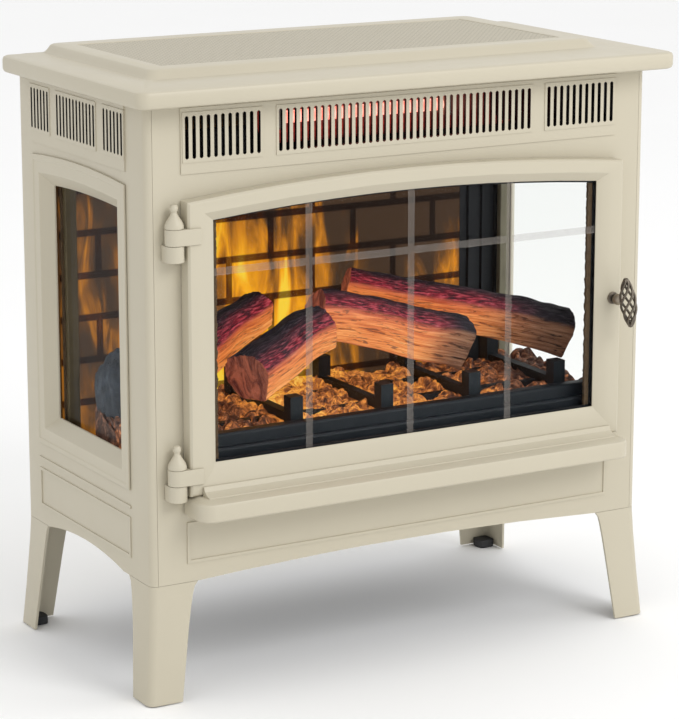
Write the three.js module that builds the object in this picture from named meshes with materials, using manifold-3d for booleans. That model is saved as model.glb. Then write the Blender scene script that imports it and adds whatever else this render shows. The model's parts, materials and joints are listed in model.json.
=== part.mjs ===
// Stove-style electric fireplace on four flared legs, with a hinged glass door.
// Millimetres, +Z up, the door faces -Y, +X is to the right of someone facing it.
import * as THREE from "three";
import { mergeGeometries, mergeVertices } from "three/addons/utils/BufferGeometryUtils.js";
import Module from "manifold-3d";

const wasm = await Module();
wasm.setup();

// Sheet metal and clearances
const SHEET = 2;
const GAP = 0.3;

// Cabinet
const BODY_HALF = 279;
const BODY_FRONT = -120.5;
const BODY_BACK = 166;
const BODY_BOTTOM = 117;
const BODY_TOP = 575;
const CORNER_RADIUS = 7;
const FASCIA_HALF = BODY_HALF - CORNER_RADIUS - GAP;
const SIDE_MIDDLE = 27;
const DECK_Z = 501;

// Top cover
const TOP_HALF = 298;
const TOP_FRONT = -149;
const TOP_BACK = 168;
const TABLE_Z = 592;
const PLATFORM_HALF = 254;
const PLATFORM_FRONT = -77;
const PLATFORM_BACK = 166.5;
const PLATFORM_Z = 600.5;
const RIM_WIDTH = 21;

// Vent slots
const SLOT_PITCH = 7.5;
const SLOT_WIDTH = 3.8;
const SLOT_BOTTOM = 523.5;
const SLOT_TOP = 563.5;

// Door
const DOOR_HALF = 244;
const DOOR_BOTTOM = 204.8;
const DOOR_CORNER_Z = 485.6;
const ARCH_CURVE = 0.000225;
const DOOR_FRONT = -137;
const DOOR_BACK = BODY_FRONT - 0.7;
const HINGE_X = -255;
const HINGE_Y = -130;
const KNUCKLE_RADIUS = 9.2;
const STRAP_HEIGHT = 15.4;
const HINGE_SPLITS = [446, 217];
const PIN_RADIUS = 3;
const GROOVE_X = [-113, 0, 113];
const GROOVE_Z = 417;
const GROOVE_HALF = 4.3;
const GROOVE_DEPTH = 0.9;
const LEDGE_FRONT = -162;
const LEDGE_BOTTOM = 184;

// Handle
const HANDLE_X = 233;
const HANDLE_Z = 346.5;
const CAGE_Y = -165;
const CAGE_RADIUS = 8.6;
const CAGE_LENGTH = 50;
const WIRE_RADIUS = 0.9;
const WIRE_COUNT = 6;

// Legs
const LEG_FLARE = 8.5;
const LEG_SHEET = 2.5;
const PAD_HEIGHT = 9;

// Firebox
const SCREEN_Y = 108;
const SCREEN_RIGHT = 205;
const WALL_INSIDE = BODY_HALF - 15.5;
const RIB_PITCH = 17;
const RIB_WIDTH = 3.5;
const RIB_DEPTH = 3;
const TRAY_Z = 204;
const BAR_X = [-205, -102.5, 0, 102.5, 205];
const LOGS = {
  left: { start: [-203, -38, 297], end: [-88, 12, 340], radii: [27, 21] },
  front: { start: [-152, -88, 299], end: [-58, -80, 330], radii: [29, 27] },
  centre: { start: [-60, -46, 341], end: [98, -54, 298], radii: [27, 30] },
  back: { start: [14, 20, 348], end: [233, -48, 290], radii: [23, 28] },
};
const LUMP_CENTRE = [-226, 36, 266];

// Flame effect, behind the screen
const ROTOR_Y = 138;
const ROTOR_Z = 262;
const ROTOR_ENDS = [-232, 196];

// Heater, above the deck
const TUBE_Y = -85;
const TUBE_Z = 549;
const TUBE_ENDS = [-118, 60];
const BLOWER_Y = -5;
const BLOWER_Z = 540;
const WHEEL_RADIUS = 24;
const WHEEL_HALF = 90;

// Controls, on the rear panel
const PANEL_X = -155;
const PANEL_Z = 538;
const BUTTON_STEP = 24;
const GLAND_X = 200;
const GLAND_Z = 150;

const group = new THREE.Group();
group.name = "electric_fireplace";

const CREAM = [0xd2cbb6, 0.45, 0.05];
const BLACK = [0x1b1c1f, 0.6, 0.3];
const STEEL = [0xb9bcc0, 0.35, 0.9];
const PEWTER = [0x4a4338, 0.4, 0.85];
const GLASS = [0xbfc8c8, 0.05, 0.0];
const CHARRED = [0x7a4630, 0.9, 0.0];
const PLASTIC = [0x2a2a2c, 0.5, 0.0];

// Adds a named mesh with a material of its own. The last value of finish is its metalness.
function add(name, geometry, finish) {
  const [colour, roughness, metalness] = finish;
  const material = new THREE.MeshStandardMaterial({ color: colour, roughness, metalness });
  const mesh = new THREE.Mesh(geometry, material);
  mesh.name = name;
  group.add(mesh);
  return mesh;
}

// A geometry as a manifold solid.
function solid(geometry) {
  const plain = geometry.clone();
  plain.deleteAttribute("normal");
  plain.deleteAttribute("uv");
  const merged = mergeVertices(plain, 1e-3);
  return new wasm.Manifold(
    new wasm.Mesh({
      numProp: 3,
      vertProperties: new Float32Array(merged.attributes.position.array),
      triVerts: new Uint32Array(merged.index.array),
    }),
  );
}

// A manifold solid as a geometry.
function geometryOf(made) {
  const mesh = made.getMesh();
  const geometry = new THREE.BufferGeometry();
  geometry.setAttribute("position", new THREE.BufferAttribute(mesh.vertProperties, 3));
  geometry.setIndex(new THREE.BufferAttribute(mesh.triVerts, 1));
  geometry.computeVertexNormals();
  return geometry;
}

const union = (geometries) => geometries.map(solid).reduce((sum, next) => sum.add(next));
const cut = (base, tools) => tools.reduce((left, tool) => left.subtract(solid(tool)), base);

// The largest body that a cut leaves.
const largest = (made) =>
  made.decompose().reduce((best, next) => (next.volume() > best.volume() ? next : best));

// Several solids that don't touch, as one cutting tool.
const together = (geometries) => mergeGeometries(geometries.map((g) => (g.index ? g.toNonIndexed() : g)));

function box(x0, x1, y0, y1, z0, z1) {
  const made = new THREE.BoxGeometry(x1 - x0, y1 - y0, z1 - z0);
  return made.translate((x0 + x1) / 2, (y0 + y1) / 2, (z0 + z1) / 2);
}

// An outline extruded along an axis. Outlines are in (x, y), (x, z) or (y, z), holes likewise.
function plate(axis, outline, from, to, holes = []) {
  const shape = new THREE.Shape(outline.map(([u, v]) => new THREE.Vector2(u, v)));
  shape.holes = holes.map((hole) => new THREE.Path(hole.map(([u, v]) => new THREE.Vector2(u, v))));
  const made = new THREE.ExtrudeGeometry(shape, { depth: to - from, bevelEnabled: false });
  if (axis === "z") return made.translate(0, 0, from);
  if (axis === "y") return made.rotateX(Math.PI / 2).translate(0, to, 0);
  const turn = new THREE.Matrix4().makeBasis(
    new THREE.Vector3(0, 1, 0),
    new THREE.Vector3(0, 0, 1),
    new THREE.Vector3(1, 0, 0),
  );
  return made.applyMatrix4(turn).translate(from, 0, 0);
}

// Points on an arc, from one angle to another in degrees, both ends included.
function arc(cx, cy, radius, from, to, steps) {
  const points = [];
  for (let i = 0; i <= steps; i++) {
    const angle = THREE.MathUtils.degToRad(from + ((to - from) * i) / steps);
    points.push([cx + radius * Math.cos(angle), cy + radius * Math.sin(angle)]);
  }
  return points;
}

const circle = (cx, cy, radius, steps) => arc(cx, cy, radius, 0, 360, steps).slice(0, -1);

function roundedRect(x0, x1, y0, y1, radius, steps) {
  return [
    ...arc(x0 + radius, y0 + radius, radius, 180, 270, steps),
    ...arc(x1 - radius, y0 + radius, radius, 270, 360, steps),
    ...arc(x1 - radius, y1 - radius, radius, 0, 90, steps),
    ...arc(x0 + radius, y1 - radius, radius, 90, 180, steps),
  ];
}

// A rectangle with a shallow arch on top.
function archedRect(middle, half, bottom, corner, curve, steps = 10) {
  const points = [
    [middle - half, bottom],
    [middle + half, bottom],
  ];
  for (let i = 0; i <= steps; i++) {
    const u = half * (1 - (2 * i) / steps);
    points.push([middle + u, corner + curve * (half * half - u * u)]);
  }
  return points;
}

// Skins a row of loops with the same number of points. A ring joins the last loop to the first;
// otherwise flat end faces close it, and drop names the coordinate left out to triangulate them.
function loft(loops, { ring = false, drop = 2 } = {}) {
  const count = loops[0].length;
  const positions = loops.flat(2);
  const indices = [];
  const spans = ring ? loops.length : loops.length - 1;
  for (let i = 0; i < spans; i++) {
    const here = i * count;
    const there = ((i + 1) % loops.length) * count;
    for (let k = 0; k < count; k++) {
      const next = (k + 1) % count;
      indices.push(here + k, here + next, there + next, here + k, there + next, there + k);
    }
  }
  if (!ring) {
    for (const [loop, start, flip] of [
      [loops[0], 0, true],
      [loops.at(-1), (loops.length - 1) * count, false],
    ]) {
      const flat = loop.map((p) => new THREE.Vector2(...p.filter((_, axis) => axis !== drop)));
      const turned = THREE.ShapeUtils.area(flat) < 0;
      for (const [a, b, c] of THREE.ShapeUtils.triangulateShape(flat, [])) {
        const face = [start + a, start + b, start + c];
        indices.push(...(flip !== turned ? face.reverse() : face));
      }
    }
  }
  const made = new THREE.BufferGeometry();
  made.setAttribute("position", new THREE.Float32BufferAttribute(positions, 3));
  made.setIndex(indices);
  return faceOut(made);
}

// Turns a closed mesh's faces outwards.
function faceOut(geometry) {
  const p = geometry.attributes.position;
  const index = geometry.index.array;
  const [a, b, c] = [new THREE.Vector3(), new THREE.Vector3(), new THREE.Vector3()];
  let volume = 0;
  for (let i = 0; i < index.length; i += 3) {
    a.fromBufferAttribute(p, index[i]);
    b.fromBufferAttribute(p, index[i + 1]);
    c.fromBufferAttribute(p, index[i + 2]);
    volume += a.dot(b.cross(c));
  }
  if (volume < 0) {
    for (let i = 0; i < index.length; i += 3) {
      [index[i + 1], index[i + 2]] = [index[i + 2], index[i + 1]];
    }
  }
  geometry.computeVertexNormals();
  return geometry;
}

// A turned solid. The profile is [radius, height], from the bottom up; axis is its direction.
function turned(profile, steps, axis, [x, y, z]) {
  const made = new THREE.LatheGeometry(
    profile.map(([radius, height]) => new THREE.Vector2(radius, height)),
    steps,
  );
  const up = new THREE.Vector3(0, 1, 0);
  made.applyQuaternion(new THREE.Quaternion().setFromUnitVectors(up, new THREE.Vector3(...axis)));
  return made.translate(x, y, z);
}

const rod = (radius, from, to, steps, y, z) => plate("x", circle(y, z, radius, steps), from, to);

const mirrorX = (geometry) => faceOut(indexed(geometry.clone().scale(-1, 1, 1)));

function indexed(geometry) {
  const plain = geometry.clone();
  plain.deleteAttribute("normal");
  plain.deleteAttribute("uv");
  return mergeVertices(plain, 1e-4);
}

// ---------------------------------------------------------------- vents

// Centres of a group of slots that is centred on a middle.
function slotRow(middle, count) {
  return Array.from({ length: count }, (_, i) => middle + (i - (count - 1) / 2) * SLOT_PITCH);
}

function slotOutline(middle, bottom, top) {
  const w = SLOT_WIDTH / 2;
  const end = 1.2;
  return [
    [middle - w + end, bottom],
    [middle + w - end, bottom],
    [middle + w, bottom + end],
    [middle + w, top - end],
    [middle + w - end, top],
    [middle - w + end, top],
    [middle - w, top - end],
    [middle - w, bottom + end],
  ];
}

const slotTool = (axis, centres, from, to) =>
  together(centres.map((c) => plate(axis, slotOutline(c, SLOT_BOTTOM, SLOT_TOP), from, to)));

// ---------------------------------------------------------------- cabinet

const BEAD = 3;
const BAND_PROUD = 1.2;
const BORDER_PROUD = 2;
const BORDER_MARGIN = 4.5;
const BAND_BOTTOM = 509.5;
const BAND_TOP = 571;
const FRONT_BAND_HALF = 243;
const SIDE_BAND_HALF = 106;
const SIDE_RULE = { bottom: 184.5, top: 187.5 };
const LOW_PANEL = { bottom: 135.5, top: 176 };
const FRONT_APRON = { rise: 7, radius: 3720 };
const SIDE_APRON = { half: 86, rise: 9, radius: 428 };

// Four bars round a rectangle, in the plane across an axis.
function beadFrame(axis, u0, u1, v0, v1, from, to) {
  const outline = [[u0, v0], [u1, v0], [u1, v1], [u0, v1]];
  const inside = [
    [u0 + BEAD, v0 + BEAD],
    [u1 - BEAD, v0 + BEAD],
    [u1 - BEAD, v1 - BEAD],
    [u0 + BEAD, v1 - BEAD],
  ];
  return plate(axis, outline, from, to, [inside]);
}

function rect(u0, u1, v0, v1) {
  return [[u0, v0], [u1, v0], [u1, v1], [u0, v1]];
}

const FRONT_GROUPS = [
  { middle: -199.5, count: 11 },
  { middle: 0, count: 38 },
  { middle: 199.5, count: 11 },
];
const SIDE_GROUPS = [
  { middle: SIDE_MIDDLE - 83, count: 6 },
  { middle: SIDE_MIDDLE, count: 12 },
  { middle: SIDE_MIDDLE + 83, count: 6 },
];
const DOOR_OPENING = { half: 217, bottom: 231, corner: 465 };
const MAGNET = { x: 231, z: 353, width: 12, height: 26 };

function frontFascia() {
  const front = BODY_FRONT;
  const back = BODY_FRONT + SHEET;
  const outline = [
    [-FASCIA_HALF, BODY_BOTTOM],
    ...arc(0, BODY_BOTTOM + FRONT_APRON.rise - FRONT_APRON.radius, FRONT_APRON.radius, 93.5, 86.5, 10),
    [FASCIA_HALF, BODY_BOTTOM],
    [FASCIA_HALF, BODY_TOP],
    [-FASCIA_HALF, BODY_TOP],
  ];
  const { half, bottom, corner } = DOOR_OPENING;
  const band = FRONT_BAND_HALF;
  const raised = FRONT_GROUPS.map(({ middle, count }) => {
    const reach = ((count - 1) / 2) * SLOT_PITCH + BORDER_MARGIN;
    const margin = BORDER_MARGIN - 1;
    const outer = rect(middle - reach, middle + reach, SLOT_BOTTOM - margin, SLOT_TOP + margin);
    return plate("y", outer, front - BORDER_PROUD, front + 1);
  });
  const made = union([
    plate("y", outline, front, back),
    plate("y", rect(-band, band, BAND_BOTTOM, BAND_TOP), front - BAND_PROUD, front + 1),
    beadFrame("y", -band + 2, band - 2, LOW_PANEL.bottom, LOW_PANEL.top, front - BAND_PROUD, front + 1),
    ...raised,
  ]);
  const slots = FRONT_GROUPS.flatMap(({ middle, count }) => slotRow(middle, count));
  const hole = MAGNET.width / 2 + GAP;
  const tall = MAGNET.height / 2 + GAP;
  return geometryOf(
    cut(made, [
      slotTool("y", slots, front - 6, back + 4),
      plate("y", archedRect(0, half, bottom, corner, ARCH_CURVE), front - 6, back + 4),
      plate("y", rect(MAGNET.x - hole, MAGNET.x + hole, MAGNET.z - tall, MAGNET.z + tall), front - 6, back + 4),
    ]),
  );
}

// Plan of the right side panel: it wraps both corners and ends in flanges behind front and back.
function sidePlan() {
  const edge = BODY_HALF - CORNER_RADIUS;
  const step = SHEET + GAP;
  const tip = BODY_HALF - 21;
  const bend = BODY_HALF - 5;
  const inner = BODY_HALF - SHEET;
  return [
    ...arc(edge, BODY_FRONT + CORNER_RADIUS, CORNER_RADIUS, -90, 0, 4),
    ...arc(edge, BODY_BACK - CORNER_RADIUS, CORNER_RADIUS, 0, 90, 4),
    [edge, BODY_BACK - step],
    [tip, BODY_BACK - step],
    [tip, BODY_BACK - step - SHEET],
    [bend, BODY_BACK - step - SHEET],
    [inner, BODY_BACK - 8],
    [inner, BODY_FRONT + 8],
    [bend, BODY_FRONT + step + SHEET],
    [tip, BODY_FRONT + step + SHEET],
    [tip, BODY_FRONT + step],
    [edge, BODY_FRONT + step],
  ];
}

const WINDOW = { half: 106, bottom: 203, corner: 497, curve: 0.00045 };
const WINDOW_HOLE = 14;
const WINDOW_PANE = 24;
const WINDOW_LIP = 29;

// The side window's outline, moved in by a distance all round.
function windowLoop(inset) {
  const { half, bottom, corner, curve } = WINDOW;
  return archedRect(SIDE_MIDDLE, half - inset, bottom + inset, corner - inset, curve, 8);
}

function sidePanel() {
  const face = BODY_HALF;
  const raised = SIDE_GROUPS.map(({ middle, count }) => {
    const reach = ((count - 1) / 2) * SLOT_PITCH + BORDER_MARGIN;
    const margin = BORDER_MARGIN - 1;
    const outer = rect(middle - reach, middle + reach, SLOT_BOTTOM - margin, SLOT_TOP + margin);
    return plate("x", outer, face - 1, face + BORDER_PROUD);
  });
  const y0 = SIDE_MIDDLE - SIDE_BAND_HALF;
  const y1 = SIDE_MIDDLE + SIDE_BAND_HALF;
  const made = union([
    plate("z", sidePlan(), BODY_BOTTOM, BODY_TOP),
    plate("x", rect(y0, y1, BAND_BOTTOM, BAND_TOP), face - 1, face + BAND_PROUD),
    plate("x", rect(y0, y1, SIDE_RULE.bottom, SIDE_RULE.top), face - 1, face + BAND_PROUD),
    beadFrame("x", y0 + 1, y1 - 1, LOW_PANEL.bottom, LOW_PANEL.top, face - 1, face + BAND_PROUD),
    ...raised,
  ]);
  const slots = SIDE_GROUPS.flatMap(({ middle, count }) => slotRow(middle, count));
  const { half, rise, radius } = SIDE_APRON;
  const apron = [
    [SIDE_MIDDLE + half, BODY_BOTTOM - 5],
    ...arc(SIDE_MIDDLE, BODY_BOTTOM + rise - radius, radius, 78.5, 101.5, 8),
    [SIDE_MIDDLE - half, BODY_BOTTOM - 5],
  ];
  return geometryOf(
    cut(made, [
      slotTool("x", slots, face - 5, face + 6),
      plate("x", windowLoop(WINDOW_HOLE), face - 5, face + 6),
      plate("x", apron, face - 5, face + 6),
    ]),
  );
}

// Bevelled frame round a side window. Each entry is an inset and a distance out from the panel.
function windowFrame() {
  const profile = [
    [0, GAP],
    [0, 2.4],
    [4.5, 2.4],
    [5.5, 1.6],
    [16.5, 1.6],
    [WINDOW_LIP, -9.5],
    [WINDOW_LIP, -11.5],
    [WINDOW_HOLE + 1, -1.2],
    [WINDOW_HOLE + 1, GAP],
  ];
  const loops = profile.map(([inset, out]) =>
    windowLoop(inset).map(([y, z]) => [BODY_HALF + out, y, z]),
  );
  return loft(loops, { ring: true });
}

function rearPanel() {
  const back = BODY_BACK;
  const front = BODY_BACK - SHEET;
  const made = union([
    plate("y", rect(-FASCIA_HALF, FASCIA_HALF, BODY_BOTTOM, BODY_TOP), front, back),
    plate("y", rect(-86, 86, SLOT_BOTTOM - 5, SLOT_TOP + 5), front + 1, back + BAND_PROUD),
  ]);
  const wide = CONTROL.width / 2 + GAP;
  const tall = CONTROL.height / 2 + GAP;
  return geometryOf(
    cut(made, [
      slotTool("y", slotRow(0, 20), front - 4, back + 4),
      plate("y", rect(PANEL_X - wide, PANEL_X + wide, PANEL_Z - tall, PANEL_Z + tall), front - 4, back + 4),
      plate("y", circle(GLAND_X, GLAND_Z, 6.6, 12), front - 4, back + 4),
    ]),
  );
}

// Top cover: loops from the recessed field out over the rim, down the ogee, round the slab's edge
// and up into the hollow underneath. Each entry is a half width, front, back, height and radius.
function topCover() {
  const rim = PLATFORM_HALF - 9;
  const field = rim - RIM_WIDTH;
  const slabLoop = (inset, z) => [
    TOP_HALF - inset,
    TOP_FRONT + inset,
    TOP_BACK - inset,
    z,
    Math.max(12 - inset, 8),
  ];
  const footLoop = (inset, z) => [
    PLATFORM_HALF - inset,
    PLATFORM_FRONT + inset,
    PLATFORM_BACK - inset / 3,
    z,
    10,
  ];
  const sections = [
    [field, PLATFORM_FRONT + 9 + RIM_WIDTH, PLATFORM_BACK - 3 - RIM_WIDTH, PLATFORM_Z - 2, 3],
    [field + 0.8, PLATFORM_FRONT + 8.2 + RIM_WIDTH, PLATFORM_BACK - 2.2 - RIM_WIDTH, PLATFORM_Z, 3],
    footLoop(9, PLATFORM_Z),
    footLoop(6.8, PLATFORM_Z - 1.1),
    footLoop(3.6, PLATFORM_Z - 5.5),
    footLoop(0, TABLE_Z),
    slabLoop(4, TABLE_Z),
    slabLoop(1.2, TABLE_Z - 1.2),
    slabLoop(0, TABLE_Z - 4),
    slabLoop(0, BODY_TOP + GAP + 4),
    slabLoop(1.2, BODY_TOP + GAP + 1.2),
    slabLoop(4, BODY_TOP + GAP),
    [BODY_HALF - 9, BODY_FRONT + 9, BODY_BACK - 9, BODY_TOP + GAP, 8],
    [BODY_HALF - 9, BODY_FRONT + 9, BODY_BACK - 9, TABLE_Z - SHEET, 8],
    [rim - 6, PLATFORM_FRONT + 15, PLATFORM_BACK - 15, TABLE_Z - SHEET, 6],
    [rim - 8, PLATFORM_FRONT + 17, PLATFORM_BACK - 17, PLATFORM_Z - 4, 6],
  ];
  const loops = sections.map(([half, y0, y1, z, radius]) =>
    roundedRect(-half, half, y0, y1, radius, 3).map(([x, y]) => [x, y, z]),
  );
  return loft(loops, { drop: 2 });
}

function topMesh() {
  const half = PLATFORM_HALF - 9 - RIM_WIDTH - GAP;
  const y0 = PLATFORM_FRONT + 9 + RIM_WIDTH + GAP;
  const y1 = PLATFORM_BACK - 3 - RIM_WIDTH - GAP;
  return plate("z", roundedRect(-half, half, y0, y1, 2, 1), PLATFORM_Z - 2 + GAP, PLATFORM_Z - 0.6);
}

// Base pan with a pad over each leg, inside the skirts.
function basePan() {
  const half = BODY_HALF - SHEET - 0.4;
  const y0 = BODY_FRONT + 4.7;
  const y1 = BODY_BACK - 4.7;
  const parts = [plate("z", roundedRect(-half, half, y0, y1, 5, 1), BODY_BOTTOM + 9.6, BODY_BOTTOM + 11.6)];
  for (const [x0, x1] of [[-271, -233], [233, 271]]) {
    parts.push(box(x0, x1, y0 + 1, y0 + 39, BODY_BOTTOM, BODY_BOTTOM + 10));
    parts.push(box(x0, x1, y1 - 39, y1 - 1, BODY_BOTTOM, BODY_BOTTOM + 10));
  }
  return geometryOf(union(parts));
}

// ---------------------------------------------------------------- legs

const LEG_TOP = BODY_BOTTOM - GAP;
const flareAt = (z) => LEG_FLARE * (1 - z / LEG_TOP) ** 1.25;
const webAt = (z) => 49 - 13.5 * (1 - z / LEG_TOP) ** 0.42;

// A hollow leg of L section at the front right corner. depth turns it to the back.
function legAt(cornerY, inwards) {
  const levels = [1.4, 20, 45, 70, 90, 104, 112, LEG_TOP];
  const loops = levels.map((z) => {
    const x = BODY_HALF + flareAt(z);
    const r = CORNER_RADIUS;
    const inner = r - LEG_SHEET;
    const plan = [
      [-webAt(z), 0],
      ...arc(-r, r, r, -90, 0, 3),
      [0, webAt(z)],
      [-LEG_SHEET, webAt(z)],
      ...arc(-r, r, inner, 0, -90, 3),
      [-webAt(z), LEG_SHEET],
    ];
    return plan.map(([u, v]) => [x + u, cornerY + inwards * (v - flareAt(z)), z]);
  });
  const y0 = cornerY + inwards * 2.2;
  const y1 = cornerY + inwards * 40;
  const top = box(BODY_HALF - 40, BODY_HALF - 2.2, Math.min(y0, y1), Math.max(y0, y1), LEG_TOP - 3, LEG_TOP);
  return geometryOf(union([loft(loops, { drop: 2 }), top]));
}

// A foot pad inside the bottom corner of a leg.
function padAt(cornerY, inwards) {
  const inset = LEG_SHEET + GAP;
  const x1 = BODY_HALF + flareAt(PAD_HEIGHT) - inset;
  const y1 = cornerY - inwards * (flareAt(PAD_HEIGHT) - inset);
  const y0 = y1 + inwards * 19;
  return plate("z", roundedRect(x1 - 19, x1, Math.min(y0, y1), Math.max(y0, y1), 4.5, 2), 0, PAD_HEIGHT);
}

// ---------------------------------------------------------------- door

const doorLoop = (half, bottom, corner, y) =>
  archedRect(0, half, bottom, corner, ARCH_CURVE).map(([x, z]) => [x, y, z]);

const DOOR_INNER = { half: 226.5, bottom: 220, corner: 474.4 };
const DOOR_LIP = { half: 215, bottom: 234.5, corner: 466.3 };
const GLASS_HALF = 222.4;
const GLASS_BOTTOM = 227;
const GLASS_CORNER = 472;
const GLASS_FRONT = -129.7;
const GLASS_BACK = -125.7;

function doorFrame() {
  const outer = (inset, y) => doorLoop(DOOR_HALF - inset, DOOR_BOTTOM + inset, DOOR_CORNER_Z - inset, y);
  const rabbet = (y) => doorLoop(GLASS_HALF + 0.6, GLASS_BOTTOM - 0.6, GLASS_CORNER + 0.6, y);
  const lip = (y) => doorLoop(DOOR_LIP.half, DOOR_LIP.bottom, DOOR_LIP.corner, y);
  return loft(
    [
      outer(0, DOOR_BACK),
      outer(0, DOOR_FRONT + 2),
      outer(2, DOOR_FRONT),
      doorLoop(DOOR_INNER.half, DOOR_INNER.bottom, DOOR_INNER.corner, DOOR_FRONT),
      lip(GLASS_FRONT - 1.3),
      lip(GLASS_FRONT - GAP),
      rabbet(GLASS_FRONT - GAP),
      rabbet(DOOR_BACK),
    ],
    { ring: true },
  );
}

// Glass with shallow V grooves that divide it into four columns and two rows.
function doorGlass() {
  const outline = archedRect(0, GLASS_HALF, GLASS_BOTTOM, GLASS_CORNER, ARCH_CURVE);
  const pane = solid(plate("y", outline, GLASS_FRONT, GLASS_BACK));
  const wide = GROOVE_HALF;
  const tip = GLASS_FRONT + GROOVE_DEPTH;
  const upright = GROOVE_X.map((x) =>
    plate("z", [[x - wide, GLASS_FRONT - 0.2], [x + wide, GLASS_FRONT - 0.2], [x, tip]], 200, 500),
  );
  const level = plate(
    "x",
    [[GLASS_FRONT - 0.2, GROOVE_Z - wide], [tip, GROOVE_Z], [GLASS_FRONT - 0.2, GROOVE_Z + wide]],
    -230,
    230,
  );
  return geometryOf(cut(pane, [...upright, level]));
}

function glassRetainer() {
  const outer = (y) => doorLoop(GLASS_HALF, GLASS_BOTTOM, GLASS_CORNER, y);
  const inner = (y) => doorLoop(GLASS_HALF - 8, GLASS_BOTTOM + 8, GLASS_CORNER - 8, y);
  const front = GLASS_BACK + GAP;
  const back = DOOR_BACK - GAP;
  return loft([outer(front), outer(back), inner(back), inner(front)], { ring: true });
}

// Moulded shelf under the door frame, with a cove up its front.
function doorLedge() {
  const top = DOOR_BOTTOM - GAP;
  const plan = (inset) => [
    [DOOR_HALF - inset, DOOR_BACK],
    [-DOOR_HALF + inset, DOOR_BACK],
    ...arc(-DOOR_HALF + 14, LEDGE_FRONT + 14, 14 - inset, 180, 270, 4),
    ...arc(DOOR_HALF - 14, LEDGE_FRONT + 14, 14 - inset, 270, 360, 4),
  ];
  const heights = [
    [1.5, LEDGE_BOTTOM],
    [0, LEDGE_BOTTOM + 1.5],
    [0, top - 5],
    [1, top - 3],
    [8, top],
  ];
  const slab = loft(heights.map(([inset, z]) => plan(inset).map(([x, y]) => [x, y, z])));
  const front = DOOR_FRONT - GAP;
  const cove = [
    [front, top - 1],
    [front, 214],
    [front - 2, 214],
    [front - 4, 209.5],
    [front - 9, 206.5],
    [front - 13, 205.5],
    [front - 13, top - 1],
  ];
  return geometryOf(union([slab, plate("x", cove, -232, 232)]));
}

// Strap that wraps the pin and laps the front of the door.
function hingeStrap(bottom) {
  const plan = [
    ...arc(HINGE_X, HINGE_Y, KNUCKLE_RADIUS, 90, 270, 8),
    [-231, HINGE_Y - KNUCKLE_RADIUS],
    [-231, DOOR_FRONT - GAP],
    [-DOOR_HALF - GAP, DOOR_FRONT - GAP],
    [-DOOR_HALF - GAP, DOOR_BACK - 2],
  ];
  const bore = circle(HINGE_X, HINGE_Y, PIN_RADIUS + 0.6, 12).reverse();
  return plate("z", plan, bottom, bottom + STRAP_HEIGHT, [bore]);
}

// Knuckle on the cabinet, under the strap.
function cabinetKnuckle(top) {
  const back = BODY_FRONT - GAP;
  const plan = [
    ...arc(HINGE_X, HINGE_Y, KNUCKLE_RADIUS, 180, 360, 8),
    [HINGE_X + KNUCKLE_RADIUS, back],
    [HINGE_X - KNUCKLE_RADIUS, back],
  ];
  const bore = circle(HINGE_X, HINGE_Y, PIN_RADIUS + 0.4, 12).reverse();
  return plate("z", plan, top - STRAP_HEIGHT, top, [bore]);
}

// Pin with a ring, a cone and a ball on top.
function hingePin(split) {
  const top = split + STRAP_HEIGHT + 2 * GAP;
  const profile = [
    [0, split - STRAP_HEIGHT],
    [PIN_RADIUS, split - STRAP_HEIGHT],
    [PIN_RADIUS, top],
    [8.8, top],
    [9, top + 4],
    [7.6, top + 6.5],
    [3.4, top + 12.5],
    [2.6, top + 15.5],
    [3.4, top + 17.2],
    [3.8, top + 19.6],
    [2.4, top + 22.2],
    [0, top + 23],
  ];
  return turned(profile, 12, [0, 0, 1], [HINGE_X, HINGE_Y, 0]);
}

function handlePost() {
  const profile = [
    [0, 0],
    [6.4, 0],
    [6.4, 1.6],
    [4, 3],
    [4, 5],
    [5.7, 8],
    [5.7, 11.5],
    [3.6, 15],
    [0, 16.8],
  ];
  return turned(profile, 12, [0, -1, 0], [HANDLE_X, DOOR_FRONT - GAP, HANDLE_Z]);
}

// Wires that wind round a spindle-shaped cage between two end balls.
function handleCage() {
  const turn = THREE.MathUtils.degToRad(230);
  const lean = 0.07;
  const steps = 9;
  const along = (s) => HANDLE_Z + (s - 0.5) * CAGE_LENGTH * 0.9;
  const middle = (s) => new THREE.Vector3(HANDLE_X - (s - 0.5) * CAGE_LENGTH * lean, CAGE_Y, along(s));
  const wires = Array.from({ length: WIRE_COUNT }, (_, w) => {
    const loops = [];
    for (let i = 0; i <= steps; i++) {
      const s = i / steps;
      const spread = 1 + (CAGE_RADIUS - 1) * Math.sin(Math.PI * s) ** 0.8;
      const angle = turn * s + (w * 2 * Math.PI) / WIRE_COUNT;
      const out = new THREE.Vector3(Math.cos(angle), Math.sin(angle), 0);
      const centre = middle(s).addScaledVector(out, spread);
      const across = new THREE.Vector3(-out.y, out.x, 0);
      const slope = 0.5 * Math.sin(Math.PI * s);
      const lift = new THREE.Vector3(0, 0, 1).addScaledVector(across, -slope).normalize();
      const side = new THREE.Vector3().crossVectors(lift, out).normalize();
      const loop = [45, 135, 225, 315].map((degrees) => {
        const a = THREE.MathUtils.degToRad(degrees);
        const point = centre.clone();
        point.addScaledVector(out, WIRE_RADIUS * 1.3 * Math.cos(a));
        point.addScaledVector(side, WIRE_RADIUS * 1.3 * Math.sin(a));
        return point.toArray();
      });
      loops.push(loop);
    }
    return loft(loops, { drop: 2 });
  });
  const balls = [0, 1].map((s) => {
    const at = middle(s);
    return new THREE.IcosahedronGeometry(3.4, 1).translate(at.x, at.y, at.z);
  });
  return geometryOf(union([...wires, ...balls]));
}

// ---------------------------------------------------------------- firebox

const flameScreen = () =>
  box(-WALL_INSIDE, SCREEN_RIGHT - GAP, SCREEN_Y, SCREEN_Y + SHEET, TRAY_Z + SHEET + GAP, DECK_Z - GAP);

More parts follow.
